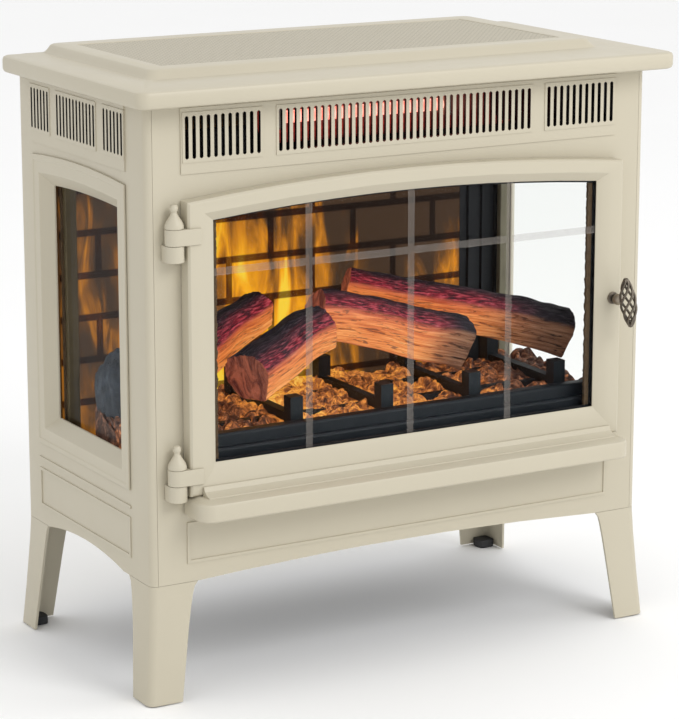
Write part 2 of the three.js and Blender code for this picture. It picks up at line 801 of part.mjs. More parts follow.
// Panel with three narrow upright ribs, between the screen and the right wall.
function ribbedPanel() {
  const x1 = WALL_INSIDE;
  const front = [];
  for (let x = SCREEN_RIGHT + RIB_PITCH / 2; x + RIB_WIDTH < x1; x += RIB_PITCH) {
    front.push([x, SCREEN_Y], [x + 1, SCREEN_Y - RIB_DEPTH]);
    front.push([x + RIB_WIDTH - 1, SCREEN_Y - RIB_DEPTH], [x + RIB_WIDTH, SCREEN_Y]);
  }
  const back = SCREEN_Y + SHEET;
  const plan = [[SCREEN_RIGHT, SCREEN_Y], ...front, [x1, SCREEN_Y], [x1, back], [SCREEN_RIGHT, back]];
  return plate("z", plan, TRAY_Z + SHEET + GAP, DECK_Z - GAP);
}

// Deck between the firebox and the heater.
const fireboxCeiling = () => box(-273, 273, BODY_FRONT + 5, BODY_BACK - 5, DECK_Z, DECK_Z + SHEET);

// Sheet tray with two bars across its front, the outer one a step lower.
function hearthTray() {
  const foot = TRAY_Z + 1;
  const inner = [[-104.5, foot], [-90, foot], [-90, 251], [-92, 253], [-102.5, 253], [-104.5, 251]];
  const outer = [[-112, foot], [-104, foot], [-104, 241], [-110, 241], [-112, 239]];
  return geometryOf(
    union([
      box(-272, 272, -112, SCREEN_Y + SHEET, TRAY_Z, TRAY_Z + SHEET),
      plate("x", inner, -256, 256),
      plate("x", outer, -256, 256),
    ]),
  );
}

// Fore-and-aft bars on two cross bars, with a prong at each end. grow makes it a cutting tool.
function grateParts(grow) {
  const bar = (x0, x1, y0, y1, z0, z1) =>
    box(x0 - grow, x1 + grow, y0 - grow, y1 + grow, z0 - grow, z1 + grow);
  const parts = [];
  for (const x of BAR_X) {
    parts.push(bar(x - 5, x + 5, -76, 50, 247, 256));
    parts.push(bar(x - 7, x + 7, -86, -72, 247, 274));
    parts.push(bar(x - 7, x + 7, 40, 54, 247, 277));
  }
  for (const y of [-50, 18]) {
    parts.push(bar(-214, 214, y, y + 9, 240, 247.5));
    parts.push(bar(-210, -200, y, y + 9, TRAY_Z + SHEET + GAP, 241));
    parts.push(bar(200, 210, y, y + 9, TRAY_Z + SHEET + GAP, 241));
  }
  return union(parts);
}

// Rough lump: a ball pushed in and out by waves that depend on direction.
function lump(centre, radii, grow) {
  const made = indexed(new THREE.IcosahedronGeometry(1, 2));
  const p = made.attributes.position;
  for (let i = 0; i < p.count; i++) {
    const v = new THREE.Vector3().fromBufferAttribute(p, i);
    const wave = 1 + 0.09 * Math.sin(5 * v.x + 3 * v.z) + 0.08 * Math.sin(7 * v.y - 4 * v.z);
    const at = radii.map((radius, axis) => centre[axis] + v.getComponent(axis) * (radius * wave + grow));
    p.setXYZ(i, ...at);
  }
  return faceOut(made);
}

// Split log: an uneven round section, flattened a little on one side, along a slightly bowed line.
function logShape({ start, end, radii }, grow) {
  const from = new THREE.Vector3(...start);
  const to = new THREE.Vector3(...end);
  const axis = to.clone().sub(from).normalize();
  const side = new THREE.Vector3(0, 0, 1).cross(axis).normalize();
  const up = axis.clone().cross(side);
  const steps = 6;
  const sides = 10;
  const loops = [];
  for (let i = 0; i <= steps; i++) {
    const s = i / steps;
    const centre = from.clone().lerp(to, s).addScaledVector(up, 3 * Math.sin(Math.PI * s));
    centre.addScaledVector(axis, (s - 0.5) * 2 * grow);
    const radius = radii[0] + (radii[1] - radii[0]) * s;
    const loop = [];
    for (let k = 0; k < sides; k++) {
      const angle = (2 * Math.PI * k) / sides;
      const wave = 1 + 0.05 * Math.sin(3 * angle + 4 * s) - 0.08 * Math.max(0, Math.sin(angle + 3.6));
      const reach = radius * wave + grow;
      const point = centre.clone().addScaledVector(side, reach * Math.cos(angle));
      point.addScaledVector(up, reach * Math.sin(angle));
      loop.push(point.toArray());
    }
    loops.push(loop);
  }
  return loft(loops, { drop: 0 });
}

// Bed of embers: a block with an uneven top, cut to clear the grate and the lump.
function emberBed() {
  const [x0, x1, y0, y1] = [-252, 252, -87, 58];
  const made = new THREE.BoxGeometry(x1 - x0, y1 - y0, 2, 18, 5, 1);
  const p = made.attributes.position;
  for (let i = 0; i < p.count; i++) {
    const [x, y, z] = [p.getX(i), p.getY(i), p.getZ(i)];
    const rise = 0.06 * (y + 70);
    const waves = 3.5 * Math.sin(0.09 * x + 0.11 * y) + 3 * Math.sin(0.17 * x - 0.13 * y + 1.3);
    p.setZ(i, z > 0 ? 240 + rise + waves : TRAY_Z + SHEET + GAP);
  }
  made.translate((x0 + x1) / 2, (y0 + y1) / 2, 0);
  const clear = solid(made).subtract(grateParts(GAP + 0.2));
  return geometryOf(largest(clear.subtract(solid(lump(LUMP_CENTRE, LUMP_RADII, GAP)))));
}

const LUMP_RADII = [28, 40, 44];

// ---------------------------------------------------------------- flame effect

function flameRotor() {
  const [x0, x1] = ROTOR_ENDS;
  const parts = [rod(3, x0, x1, 6, ROTOR_Y, ROTOR_Z)];
  const stations = 9;
  for (let i = 0; i < stations; i++) {
    const x = x0 + 30 + ((x1 - x0 - 60) * i) / (stations - 1);
    for (const turn of [0, 120, 240]) {
      const paddle = box(x - 12, x + 12, 1, 15, -0.5, 0.5);
      paddle.rotateX(THREE.MathUtils.degToRad(turn + i * 37));
      parts.push(paddle.translate(0, ROTOR_Y, ROTOR_Z));
    }
  }
  return geometryOf(union(parts));
}

const rotorBearing = () =>
  plate(
    "x",
    rect(ROTOR_Y - 9, ROTOR_Y + 9, TRAY_Z + 12, ROTOR_Z + 9),
    ROTOR_ENDS[0] + 4,
    ROTOR_ENDS[0] + 8,
    [circle(ROTOR_Y, ROTOR_Z, 3.6, 12)],
  );

const rotorMotor = () => rod(16, ROTOR_ENDS[1] + GAP, ROTOR_ENDS[1] + 22, 14, ROTOR_Y, ROTOR_Z);

function ledStrip() {
  const z = TRAY_Z + 8;
  const parts = [box(-190, 190, ROTOR_Y - 10, ROTOR_Y + 2, z, z + 1.6)];
  for (let i = 0; i < 10; i++) {
    const x = -171 + i * 38;
    parts.push(box(x - 2.5, x + 2.5, ROTOR_Y - 6.5, ROTOR_Y - 1.5, z + 1, z + 3.2));
  }
  return geometryOf(union(parts));
}

// ---------------------------------------------------------------- heater

const quartzTube = () => rod(6, ...TUBE_ENDS, 12, TUBE_Y, TUBE_Z);

const tubeHolder = (x0, x1) =>
  plate("x", roundedRect(TUBE_Y - 9, TUBE_Y + 9, TUBE_Z - 11, TUBE_Z + 11, 3, 1), x0, x1);

// Trough behind the tube, open to the front.
function heaterReflector() {
  const radius = 23;
  const section = [
    ...arc(TUBE_Y, TUBE_Z, radius + 1, -125, 125, 10),
    ...arc(TUBE_Y, TUBE_Z, radius, 125, -125, 10),
  ];
  return plate("x", section, -133, 133);
}

function blowerWheel() {
  const parts = [
    rod(WHEEL_RADIUS, -WHEEL_HALF, -WHEEL_HALF + 2, 16, BLOWER_Y, BLOWER_Z),
    rod(WHEEL_RADIUS, WHEEL_HALF - 2, WHEEL_HALF, 16, BLOWER_Y, BLOWER_Z),
    rod(3, -WHEEL_HALF - 9, WHEEL_HALF + 9, 8, BLOWER_Y, BLOWER_Z),
  ];
  const blades = 14;
  for (let i = 0; i < blades; i++) {
    const blade = box(-WHEEL_HALF + 1, WHEEL_HALF - 1, WHEEL_RADIUS - 7, WHEEL_RADIUS - 0.6, -0.6, 0.6);
    blade.rotateX((2 * Math.PI * i) / blades);
    parts.push(blade.translate(0, BLOWER_Y, BLOWER_Z));
  }
  return geometryOf(union(parts));
}

// Scroll under the wheel between two end plates, open at the back and to the tube.
function blowerHousing() {
  const scroll = [
    ...arc(BLOWER_Y, BLOWER_Z, 30, 15, -100, 10),
    [-56, DECK_Z + 6],
    [-56, DECK_Z + 4.5],
    ...arc(BLOWER_Y, BLOWER_Z, 31.5, -100, 15, 10),
  ];
  const half = WHEEL_HALF + 6;
  const end = rect(-57, 30, DECK_Z + SHEET + GAP, BODY_TOP - 2);
  const made = union([
    plate("x", scroll, -half, half),
    box(-half, half, -57, -30, 568, 570),
    plate("x", end, -half, -half + 2),
    plate("x", end, half - 2, half),
  ]);
  return geometryOf(cut(made, [rod(4, -half - 5, half + 5, 10, BLOWER_Y, BLOWER_Z)]));
}

const blowerMotor = () => rod(19, WHEEL_HALF + 9 + GAP, WHEEL_HALF + 42, 16, BLOWER_Y, BLOWER_Z);

// ---------------------------------------------------------------- electrics

const CONTROL = { width: 88, height: 34 };
const BUTTON = { width: 13, height: 9 };

function controlBoard() {
  const z = BODY_BOTTOM + 12;
  const parts = [
    box(90, 200, 60, 140, z + 6, z + 7.6),
    box(110, 135, 75, 100, z + 7, z + 25),
    box(150, 170, 75, 90, z + 7, z + 22),
    box(110, 190, 118, 128, z + 7, z + 18),
  ];
  for (const x of [96, 194]) {
    for (const y of [66, 134]) {
      parts.push(box(x - 3, x + 3, y - 3, y + 3, z, z + 6.5));
    }
  }
  return geometryOf(union(parts));
}

const buttonCentres = [-1, 0, 1].map((step) => PANEL_X + step * BUTTON_STEP);

// Plastic panel that fills its hole in the rear panel, with a lip outside.
function controlPanel() {
  const outline = (grow) =>
    rect(
      PANEL_X - CONTROL.width / 2 - grow,
      PANEL_X + CONTROL.width / 2 + grow,
      PANEL_Z - CONTROL.height / 2 - grow,
      PANEL_Z + CONTROL.height / 2 + grow,
    );
  const made = union([
    plate("y", outline(0), BODY_BACK - 6, BODY_BACK + 1),
    plate("y", outline(4), BODY_BACK + GAP, BODY_BACK + 2.3),
  ]);
  const wide = BUTTON.width / 2 + GAP;
  const tall = BUTTON.height / 2 + GAP;
  const holes = buttonCentres.map((x) =>
    plate("y", rect(x - wide, x + wide, PANEL_Z - tall, PANEL_Z + tall), BODY_BACK - 10, BODY_BACK + 6),
  );
  return geometryOf(cut(made, [together(holes)]));
}

const controlButton = (x) =>
  plate(
    "y",
    roundedRect(
      x - BUTTON.width / 2,
      x + BUTTON.width / 2,
      PANEL_Z - BUTTON.height / 2,
      PANEL_Z + BUTTON.height / 2,
      2,
      2,
    ),
    BODY_BACK - 4,
    BODY_BACK + 4.6,
  );

// Bush for the mains lead, with a flange outside.
function cordGland() {
  const profile = [
    [3.6, 0],
    [6.2, 0],
    [6.2, 6 + GAP],
    [9.5, 6 + GAP],
    [9.5, 8],
    [6, 10],
    [4.8, 12],
    [3.6, 12],
    [3.6, 0],
  ];
  return turned(profile, 14, [0, 1, 0], [GLAND_X, BODY_BACK - 6, GLAND_Z]);
}

// ---------------------------------------------------------------- assembly

add("top_cover", topCover(), CREAM);
add("top_mesh_panel", topMesh(), CREAM);
add("front_fascia", frontFascia(), CREAM);
const side = sidePanel();
add("side_panel_right", side, CREAM);
add("side_panel_left", mirrorX(side), CREAM);
add("rear_panel", rearPanel(), CREAM);
add("base_pan", basePan(), BLACK);

const LEGS = {
  front: [BODY_FRONT, 1],
  back: [BODY_BACK, -1],
};
for (const [end, [cornerY, inwards]] of Object.entries(LEGS)) {
  const leg = faceOut(indexed(legAt(cornerY, inwards)));
  add(`leg_${end}_right`, leg, CREAM);
  add(`leg_${end}_left`, mirrorX(leg), CREAM);
  const pad = padAt(cornerY, inwards);
  add(`foot_pad_${end}_right`, pad, PLASTIC);
  add(`foot_pad_${end}_left`, mirrorX(pad), PLASTIC);
}

const frame = windowFrame();
add("side_window_frame_right", frame, CREAM);
add("side_window_frame_left", mirrorX(frame), CREAM);
const pane = plate("x", windowLoop(WINDOW_PANE), BODY_HALF - 15, BODY_HALF - 12);
add("side_glass_right", pane, GLASS);
add("side_glass_left", mirrorX(pane), GLASS);

add("flame_screen", flameScreen(), [0x8a4a22, 0.5, 0]);
add("ribbed_panel", ribbedPanel(), BLACK);
add("firebox_ceiling", fireboxCeiling(), BLACK);
add("hearth_tray", hearthTray(), BLACK);
add("ember_bed", emberBed(), CHARRED);
const grate = grateParts(0);
add("grate", geometryOf(grate), BLACK);
const grateClear = grateParts(GAP);
const frontLog = solid(logShape(LOGS.front, GAP + 0.2));
for (const [name, log] of Object.entries(LOGS)) {
  const whole = solid(logShape(log, 0));
  const cleared = name === "centre" ? whole.subtract(frontLog) : whole;
  add(`log_${name}`, geometryOf(cleared.subtract(grateClear)), CHARRED);
}
const coal = solid(lump(LUMP_CENTRE, LUMP_RADII, 0)).subtract(grateClear);
add("coal_lump", geometryOf(largest(coal)), [0x3a4450, 0.9, 0]);

add("flame_rotor", flameRotor(), STEEL);
add("rotor_bearing", rotorBearing(), PLASTIC);
add("rotor_motor", rotorMotor(), STEEL);
add("led_strip", ledStrip(), [0xe8e4d0, 0.6, 0]);

add("quartz_tube", quartzTube(), [0xff7a66, 0.3, 0]);
add("tube_holder_left", tubeHolder(TUBE_ENDS[0] - 12, TUBE_ENDS[0] - GAP), [0xe6e0d4, 0.7, 0]);
add("tube_holder_right", tubeHolder(TUBE_ENDS[1] + GAP, TUBE_ENDS[1] + 12), [0xe6e0d4, 0.7, 0]);
add("heater_reflector", heaterReflector(), STEEL);
add("blower_wheel", blowerWheel(), STEEL);
add("blower_housing", blowerHousing(), BLACK);
add("blower_motor", blowerMotor(), STEEL);

add("control_board", controlBoard(), [0x1d5a34, 0.6, 0]);
add("control_panel", controlPanel(), PLASTIC);
buttonCentres.forEach((x, i) => {
  const names = ["power_button", "flame_button", "heat_button"];
  add(names[i], controlButton(x), [0x55565a, 0.45, 0]);
});
add("cord_gland", cordGland(), PLASTIC);

add("door_frame", doorFrame(), CREAM);
add("door_glass", doorGlass(), GLASS);
add("glass_retainer", glassRetainer(), BLACK);
add("door_ledge", doorLedge(), CREAM);
["upper", "lower"].forEach((place, i) => {
  const split = HINGE_SPLITS[i];
  add(`hinge_strap_${place}`, hingeStrap(split), CREAM);
  add(`cabinet_knuckle_${place}`, cabinetKnuckle(split - GAP), CREAM);
  add(`hinge_pin_${place}`, hingePin(split), CREAM);
});
add("handle_post", handlePost(), PEWTER);
add("handle_cage", handleCage(), PEWTER);
add(
  "catch_magnet",
  box(
    MAGNET.x - MAGNET.width / 2,
    MAGNET.x + MAGNET.width / 2,
    BODY_FRONT - 0.4,
    BODY_FRONT + 10,
    MAGNET.z - MAGNET.height / 2,
    MAGNET.z + MAGNET.height / 2,
  ),
  BLACK,
);

export default group;
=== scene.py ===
import json
import math

import bmesh
import bpy
import numpy as np
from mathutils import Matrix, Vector


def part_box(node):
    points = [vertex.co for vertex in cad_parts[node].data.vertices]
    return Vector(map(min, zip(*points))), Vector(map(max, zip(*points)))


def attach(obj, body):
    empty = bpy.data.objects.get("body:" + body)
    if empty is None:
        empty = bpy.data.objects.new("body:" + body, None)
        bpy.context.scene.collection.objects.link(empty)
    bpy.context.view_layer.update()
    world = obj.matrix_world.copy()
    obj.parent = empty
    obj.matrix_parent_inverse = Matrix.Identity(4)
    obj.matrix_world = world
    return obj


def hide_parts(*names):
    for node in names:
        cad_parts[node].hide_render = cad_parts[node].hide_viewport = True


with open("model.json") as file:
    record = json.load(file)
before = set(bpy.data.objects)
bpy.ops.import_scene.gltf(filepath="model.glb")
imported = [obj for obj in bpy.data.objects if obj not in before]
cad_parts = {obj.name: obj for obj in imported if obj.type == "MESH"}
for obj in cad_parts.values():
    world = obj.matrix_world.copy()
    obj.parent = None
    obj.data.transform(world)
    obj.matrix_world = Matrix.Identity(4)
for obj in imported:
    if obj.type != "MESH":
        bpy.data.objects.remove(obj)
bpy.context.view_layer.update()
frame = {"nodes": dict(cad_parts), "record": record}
scene = bpy.context.scene

# ------------------------------------------------------------------ cabinet enamel
# The cabinet, the door and the legs are pressed and cast steel, sprayed with a satin almond
# enamel that has a very fine orange peel and rolls softly over every edge. Inside the heater
# compartment, behind the vents, under the top cover and on the vent slot walls, the enamel is coloured
# near black: painted shade.


class Field:
    """One value over a surface. Python's operators on it add Math nodes to its finish."""

    def __init__(self, finish, socket):
        self.finish, self.socket = finish, socket

    def math(self, operation, *values):
        return self.finish.node("ShaderNodeMath", {"operation": operation}, dict(enumerate(values)))

    def __add__(self, other):
        return self.math("ADD", self, other)

    def __sub__(self, other):
        return self.math("SUBTRACT", self, other)

    def __rsub__(self, other):
        return self.math("SUBTRACT", other, self)

    def __mul__(self, other):
        return self.math("MULTIPLY", self, other)

    __radd__ = __add__
    __rmul__ = __mul__

    def sine(self):
        return self.math("SINE", self)

    def size(self):
        return self.math("ABSOLUTE", self)

    def rise(self, low, high):
        """0 below low, 1 above high, and a smooth step between."""
        settings = {"interpolation_type": "SMOOTHSTEP"}
        sockets = {"Value": self, "From Min": low, "From Max": high}
        return self.finish.node("ShaderNodeMapRange", settings, sockets)

    def within(self, low, high):
        """1 between low and high, 0 outside."""
        return self.rise(low, low + 0.0001) * (1 - self.rise(high - 0.0001, high))


class Finish:
    """A material of one finish. node() adds a node and gives its output as a Field."""

    def __init__(self, name):
        self.material = bpy.data.materials.new(name)
        self.material.use_nodes = True
        self.tree = self.material.node_tree
        self.tree.nodes.clear()

    def node(self, kind, settings=None, sockets=None, out=0):
        made = self.tree.nodes.new(kind)
        for key, value in (settings or {}).items():
            if key == "stops":
                ramp = made.color_ramp
                for place, colour in value[2:]:
                    ramp.elements.new(place)
                for element, (place, colour) in zip(ramp.elements, sorted(value)):
                    element.position, element.color = place, (*colour, 1)
            else:
                setattr(made, key, value)
        for key, value in (sockets or {}).items():
            socket = made.inputs[key]
            if isinstance(value, Field):
                self.tree.links.new(value.socket, socket)
            elif socket.type == "RGBA":
                socket.default_value = (*value, 1)
            else:
                socket.default_value = value
        return Field(self, made.outputs[out]) if made.outputs else None

    def place(self, stretch=(1, 1, 1)):
        """Object coordinates in metres, stretched."""
        where = self.node("ShaderNodeTexCoord", out=3)
        return self.node("ShaderNodeMapping", None, {"Vector": where, "Scale": stretch})

    def axis(self, name):
        return self.node("ShaderNodeSeparateXYZ", None, {"Vector": self.place()}, out="XYZ".index(name))

    def attribute(self, name):
        return self.node("ShaderNodeAttribute", {"attribute_name": name}, out=2)

    def noise(self, scale, detail=3, roughness=0.5, stretch=(1, 1, 1), distortion=0, at=None):
        at = at or self.place(stretch)
        sockets = {"Vector": at, "Scale": scale, "Detail": detail, "Roughness": roughness}
        return self.node("ShaderNodeTexNoise", None, {**sockets, "Distortion": distortion})

    def join(self, x, y, z=0):
        return self.node("ShaderNodeCombineXYZ", None, {"X": x, "Y": y, "Z": z})

    def mix(self, share, first, second, blend="MIX"):
        settings = {"data_type": "RGBA", "blend_type": blend}
        return self.node("ShaderNodeMix", settings, {0: share, 6: first, 7: second}, out=2)

    def ramp(self, value, stops):
        return self.node("ShaderNodeValToRGB", {"stops": stops}, {"Fac": value})

    def bump(self, height, distance, strength=1.0):
        sockets = {"Height": height, "Distance": distance, "Strength": strength}
        return self.node("ShaderNodeBump", None, sockets)

    def surface(self, sockets):
        self.show(self.node("ShaderNodeBsdfPrincipled", None, sockets))

    def show(self, shader):
        self.node("ShaderNodeOutputMaterial", None, {"Surface": shader})


BODIES = frame["record"]["behaviour"]["bodies"]
BODY_OF = {node: body for body, nodes in BODIES.items() for node in nodes}


def settle(piece, finish, node):
    """Puts a piece in the scene with its finish, riding with the body of a CAD node."""
    scene.collection.objects.link(piece)
    piece.data.materials.clear()
    piece.data.materials.append(finish.material)
    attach(piece, BODY_OF[node])
    return piece


def sharpen(shape, angle):
    """Shades a shape smooth, apart from the edges that turn by more than an angle in degrees."""
    for face in shape.faces:
        face.smooth = True
    for edge in shape.edges:
        edge.smooth = len(edge.link_faces) == 2 and edge.calc_face_angle(0) < math.radians(angle)


def rounded(node, finish, radius, segments=2, angle=33):
    """A copy of a CAD piece with its doubles merged, its flat facets joined and its edges rolled."""
    mesh = frame["nodes"][node].data.copy()
    mesh.name = f"{node}_finished"
    shape = bmesh.new()
    shape.from_mesh(mesh)
    bmesh.ops.remove_doubles(shape, verts=shape.verts, dist=2e-6)
    bmesh.ops.dissolve_limit(shape, angle_limit=math.radians(1), verts=shape.verts, edges=shape.edges)
    sharpen(shape, angle)
    shape.to_mesh(mesh)
    shape.free()
    piece = settle(bpy.data.objects.new(f"{node}_finished", mesh), finish, node)
    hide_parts(node)
    roll = piece.modifiers.new("rolled edge", "BEVEL")
    roll.width, roll.segments, roll.limit_method = radius, segments, "ANGLE"
    roll.angle_limit = math.radians(angle)
    roll.harden_normals = True
    return piece


almond = (0.52, 0.474, 0.366)
painted_shade_black = (0.008, 0.008, 0.009)
enamel = Finish("almond_enamel")
cloud = enamel.noise(7, 3)
peel = enamel.noise(700, 2)
x, y, z = (enamel.axis(letter) for letter in "XYZ")
deck, wall_top, cover_top = 0.5028, 0.5751, 0.5906
inside = x.size().within(-1, 0.2773) * y.within(-0.1155, 0.1612) * z.within(deck, wall_top)
under_cover = x.size().within(-1, 0.2706) * y.within(-0.1121, 0.1576) * z.within(0.575, cover_top)


def slots(along, groups):
    """1 over the stretches of an axis that groups of vent slots take up."""
    return sum(along.within(middle - half, middle + half) for middle, half in groups)


slot_level = z.within(0.5234, 0.5636)
front_groups = ((-0.1995, 0.04), (0, 0.141), (0.1995, 0.04))
side_groups = ((-0.056, 0.021), (0.027, 0.0435), (0.11, 0.021))
front_slots = slots(x, front_groups) * y.within(-0.1223, -0.118)
side_slots = slots(y, side_groups) * x.size().within(0.2766, 0.2808)
rear_slots = slots(x, ((0, 0.0735),)) * y.within(0.1636, 0.1669)
# Painted shade: the inside of the compartment, the underside of the top cover and the vent slot walls
# are coloured near black.
vent_shade_mask = inside + under_cover + (front_slots + side_slots + rear_slots) * slot_level
sprayed = enamel.mix(cloud, almond, tuple(c * 0.94 for c in almond))
enamel.surface(
    {
        "Base Color": enamel.mix(vent_shade_mask, sprayed, painted_shade_black),
        "Roughness": 0.34 + 0.14 * enamel.noise(40, 3),
        "Specular IOR Level": 0.42,
        "Normal": enamel.bump(peel, 0.00005, 0.6),
    }
)
for name in ("front_fascia", "side_panel_left", "side_panel_right", "rear_panel"):
    rounded(name, enamel, 0.0006)
for name in ("side_window_frame_left", "side_window_frame_right"):
    rounded(name, enamel, 0.0012, 3)
for corner in ("front_left", "front_right", "back_left", "back_right"):
    rounded(f"leg_{corner}", enamel, 0.0009)
rounded("top_cover", enamel, 0.0014, 3)

# ------------------------------------------------------------------ top mesh panel
# A sheet of fine expanded mesh lies in the recess of the raised platform and lets warm air out.
# It is sprayed with the cabinet. Its strands cross on the diagonal and stand in rows.

weave = Finish("almond_mesh")
x, y = weave.axis("X"), weave.axis("Y")
pitch = 0.0034
turn = 2 * math.pi / pitch
slope = 0.62
crossing = (x * turn * slope + y * turn).sine() + (x * -turn * slope + y * turn).sine()
rows = (y * (math.pi / pitch)).sine()
opening = (crossing * 0.35 + rows * 0.5).rise(-0.1, 0.6)
# The openings between the strands are coloured dark brown: painted shade of the hollow under the mesh.
weave.surface(
    {
        "Base Color": weave.mix(opening * 0.8, almond, (0.17, 0.15, 0.11)),
        "Roughness": 0.5 + 0.2 * opening,
        "Normal": weave.bump(1 - opening, 0.0006, 0.8),
    }
)


def dress(finish, *nodes):
    """Gives CAD nodes that stay as they are a finish."""
    for node in nodes:
        for slot in frame["nodes"][node].material_slots:
            slot.material = finish.material


dress(weave, "top_mesh_panel")

# ------------------------------------------------------------------ base pan, feet and firebox shell
# The pan, the deck and the walls round the fire are sheet steel in a satin black paint that has
# picked up a little dust. The feet are moulded in black plastic.


def plain(name, colour, other, roughness, grain=300, depth=0.00005, metallic=0.0, specular=0.4):
    """A finish that drifts between two colours, with a fine grain in its gloss and its surface."""
    made = Finish(name)
    drift = made.noise(18, 4, 0.6)
    fine = made.noise(grain, 3)
    sockets = {
        "Base Color": made.mix(drift.rise(0.3, 0.7), colour, other),
        "Roughness": roughness - 0.08 + 0.16 * fine,
        "Metallic": metallic,
        "Specular IOR Level": specular,
        "Normal": made.bump(fine, depth, 0.7),
    }
    made.surface(sockets)
    return made


black_paint = plain("satin_black_paint", (0.009, 0.01, 0.013), (0.015, 0.016, 0.018), 0.6, specular=0.2)
for name in ("base_pan", "glass_retainer", "firebox_ceiling"):
    rounded(name, black_paint, 0.0005)
ribs = plain("ribbed_black_paint", (0.006, 0.008, 0.011), (0.01, 0.012, 0.016), 0.5, specular=0.25)
rounded("ribbed_panel", ribs, 0.0005)
moulded = plain("moulded_black", (0.018, 0.018, 0.02), (0.03, 0.03, 0.032), 0.6, 900)
for corner in ("front_left", "front_right", "back_left", "back_right"):
    rounded(f"foot_pad_{corner}", moulded, 0.0012)

# ------------------------------------------------------------------ flame screen
# A printed brick wall on a translucent screen: the rotor and the lamps behind it throw flames on
# it. They are tall and bright left of the middle and die down to a dull brown at the right.

flames = Finish("flame_screen")
x, z = flames.axis("X"), flames.axis("Z")
embers_top, inverse_height = 0.24, 4
height = (z - embers_top) * inverse_height
sway = flames.noise(8, 2, stretch=(1, 0, 0.5)) - 0.5
lean = x + sway * 0.05
wisp = flames.noise(1, 4, 0.55, distortion=1.4, at=flames.join(lean * 46, z * 9))
tongue = flames.noise(1, 2, 0.5, distortion=0.9, at=flames.join(lean * 20 + 3.1, z * 8))
reach = 1 - (x + 0.05).size().rise(0.05, 0.16)
left_end = (0 - x).rise(0.15, 0.2) * 0.22
fire = (wisp - 0.5) * 1.5 + (tongue - 0.5) * 1.5 + reach * 0.62 + left_end - height * 0.5 + 0.14
bricks = flames.node(
    "ShaderNodeTexBrick",
    {"offset": 0.5, "squash": 1.0},
    {
        "Vector": flames.join(x + 0.0255, z + 0.0155),
        "Color1": (1, 1, 1),
        "Color2": (0.75, 0.75, 0.75),
        "Mortar": (0.09, 0.05, 0.05),
        "Scale": 1.0,
        "Mortar Size": 0.0042,
        "Mortar Smooth": 0.3,
        "Brick Width": 0.098,
        "Row Height": 0.0432,
    },
)
shades = [
    (0.0, (0.055, 0.03, 0.016)),
    (0.2, (0.12, 0.05, 0.015)),
    (0.4, (0.36, 0.13, 0.014)),
    (0.58, (0.7, 0.25, 0.012)),
    (0.76, (0.98, 0.42, 0.012)),
    (0.95, (1.0, 0.66, 0.05)),
]
lit = flames.ramp(fire, shades)
wall = flames.mix(1.0, lit, bricks, "MULTIPLY")
veil = flames.mix(fire.rise(0.4, 1.0) * 0.15, wall, lit)
# Near the firebox ceiling the screen's glow is darkened almost to black: painted shade.
under_ceiling = z.rise(0.43, 0.475)
shaded = flames.mix(under_ceiling * 0.75, veil, (0.012, 0.007, 0.005))
soot = flames.noise(60, 4, 0.7)
flames.surface(
    {
        "Base Color": flames.mix(soot, (0.012, 0.008, 0.006), (0.022, 0.014, 0.01)),
        "Roughness": 0.45 + 0.2 * soot,
        "Specular IOR Level": 0.1,
        "Emission Color": shaded,
        "Emission Strength": 1.0,
    }
)
dress(flames, "flame_screen")

# ------------------------------------------------------------------ window jambs
# A folded strip stands in each back corner of the firebox and hides the edge of the side window's
# glass. It is coloured browner and darker than the cabinet, and the left one darker again: painted
# shade.

lit_jamb_paint = plain("jamb_almond_lit", (0.23, 0.215, 0.15), (0.18, 0.165, 0.115), 0.55, specular=0.2)
shaded_jamb_paint = plain("jamb_almond_in_painted_shade", (0.075, 0.055, 0.028), (0.11, 0.082, 0.042), 0.6, specular=0.15)


def skin(name, points, values=None, angle=40):
    """Quads between the points of a grid whose columns close on themselves, with a fan over the
    first and the last row. values are numbers for each point, kept as attributes."""
    rows, columns = points.shape[:2]
    i, k = np.meshgrid(np.arange(rows - 1), np.arange(columns), indexing="ij")
    after = (k + 1) % columns
    quads = np.stack(
        [i * columns + k, i * columns + after, (i + 1) * columns + after, (i + 1) * columns + k], -1
    )
    k = np.arange(columns)
    after = (k + 1) % columns
    last = (rows - 1) * columns
    first_fan = np.stack([np.full(columns, rows * columns), after, k], -1)
    last_fan = np.stack([np.full(columns, rows * columns + 1), last + k, last + after], -1)
    everything = np.vstack([points.reshape(-1, 3), points[0].mean(0), points[-1].mean(0)])
    mesh = bpy.data.meshes.new(name)
    faces = quads.reshape(-1, 4).tolist() + first_fan.tolist() + last_fan.tolist()
    mesh.from_pydata(everything.tolist(), [], faces)
    for key, value in (values or {}).items():
        value = np.broadcast_to(value, (rows, columns))
        kept = np.concatenate([value.ravel(), [value[0].mean(), value[-1].mean()]])
        mesh.attributes.new(key, "FLOAT", "POINT").data.foreach_set("value", kept.astype(np.float32))
    shape = bmesh.new()
    shape.from_mesh(mesh)
    bmesh.ops.recalc_face_normals(shape, faces=shape.faces)
    sharpen(shape, angle)
    shape.to_mesh(mesh)
    shape.free()
    return bpy.data.objects.new(name, mesh)


def jamb(name, node, side, finish):
    """A strip 12 mm wide and 7 mm deep, from the tray to the deck."""
    inner, outer, front, back = 0.2495, 0.2615, 0.0965, 0.1035
    x = side * np.array([inner, outer, outer, inner])
    y = np.array([front, front, back, back])
    rows = [np.stack([x, y, np.full(4, z)], -1) for z in (0.207, 0.35, 0.5)]
    piece = settle(skin(name, np.array(rows), None, 30), finish, node)
    folded = piece.modifiers.new("folded edge", "BEVEL")
    folded.width, folded.segments = 0.0009, 3


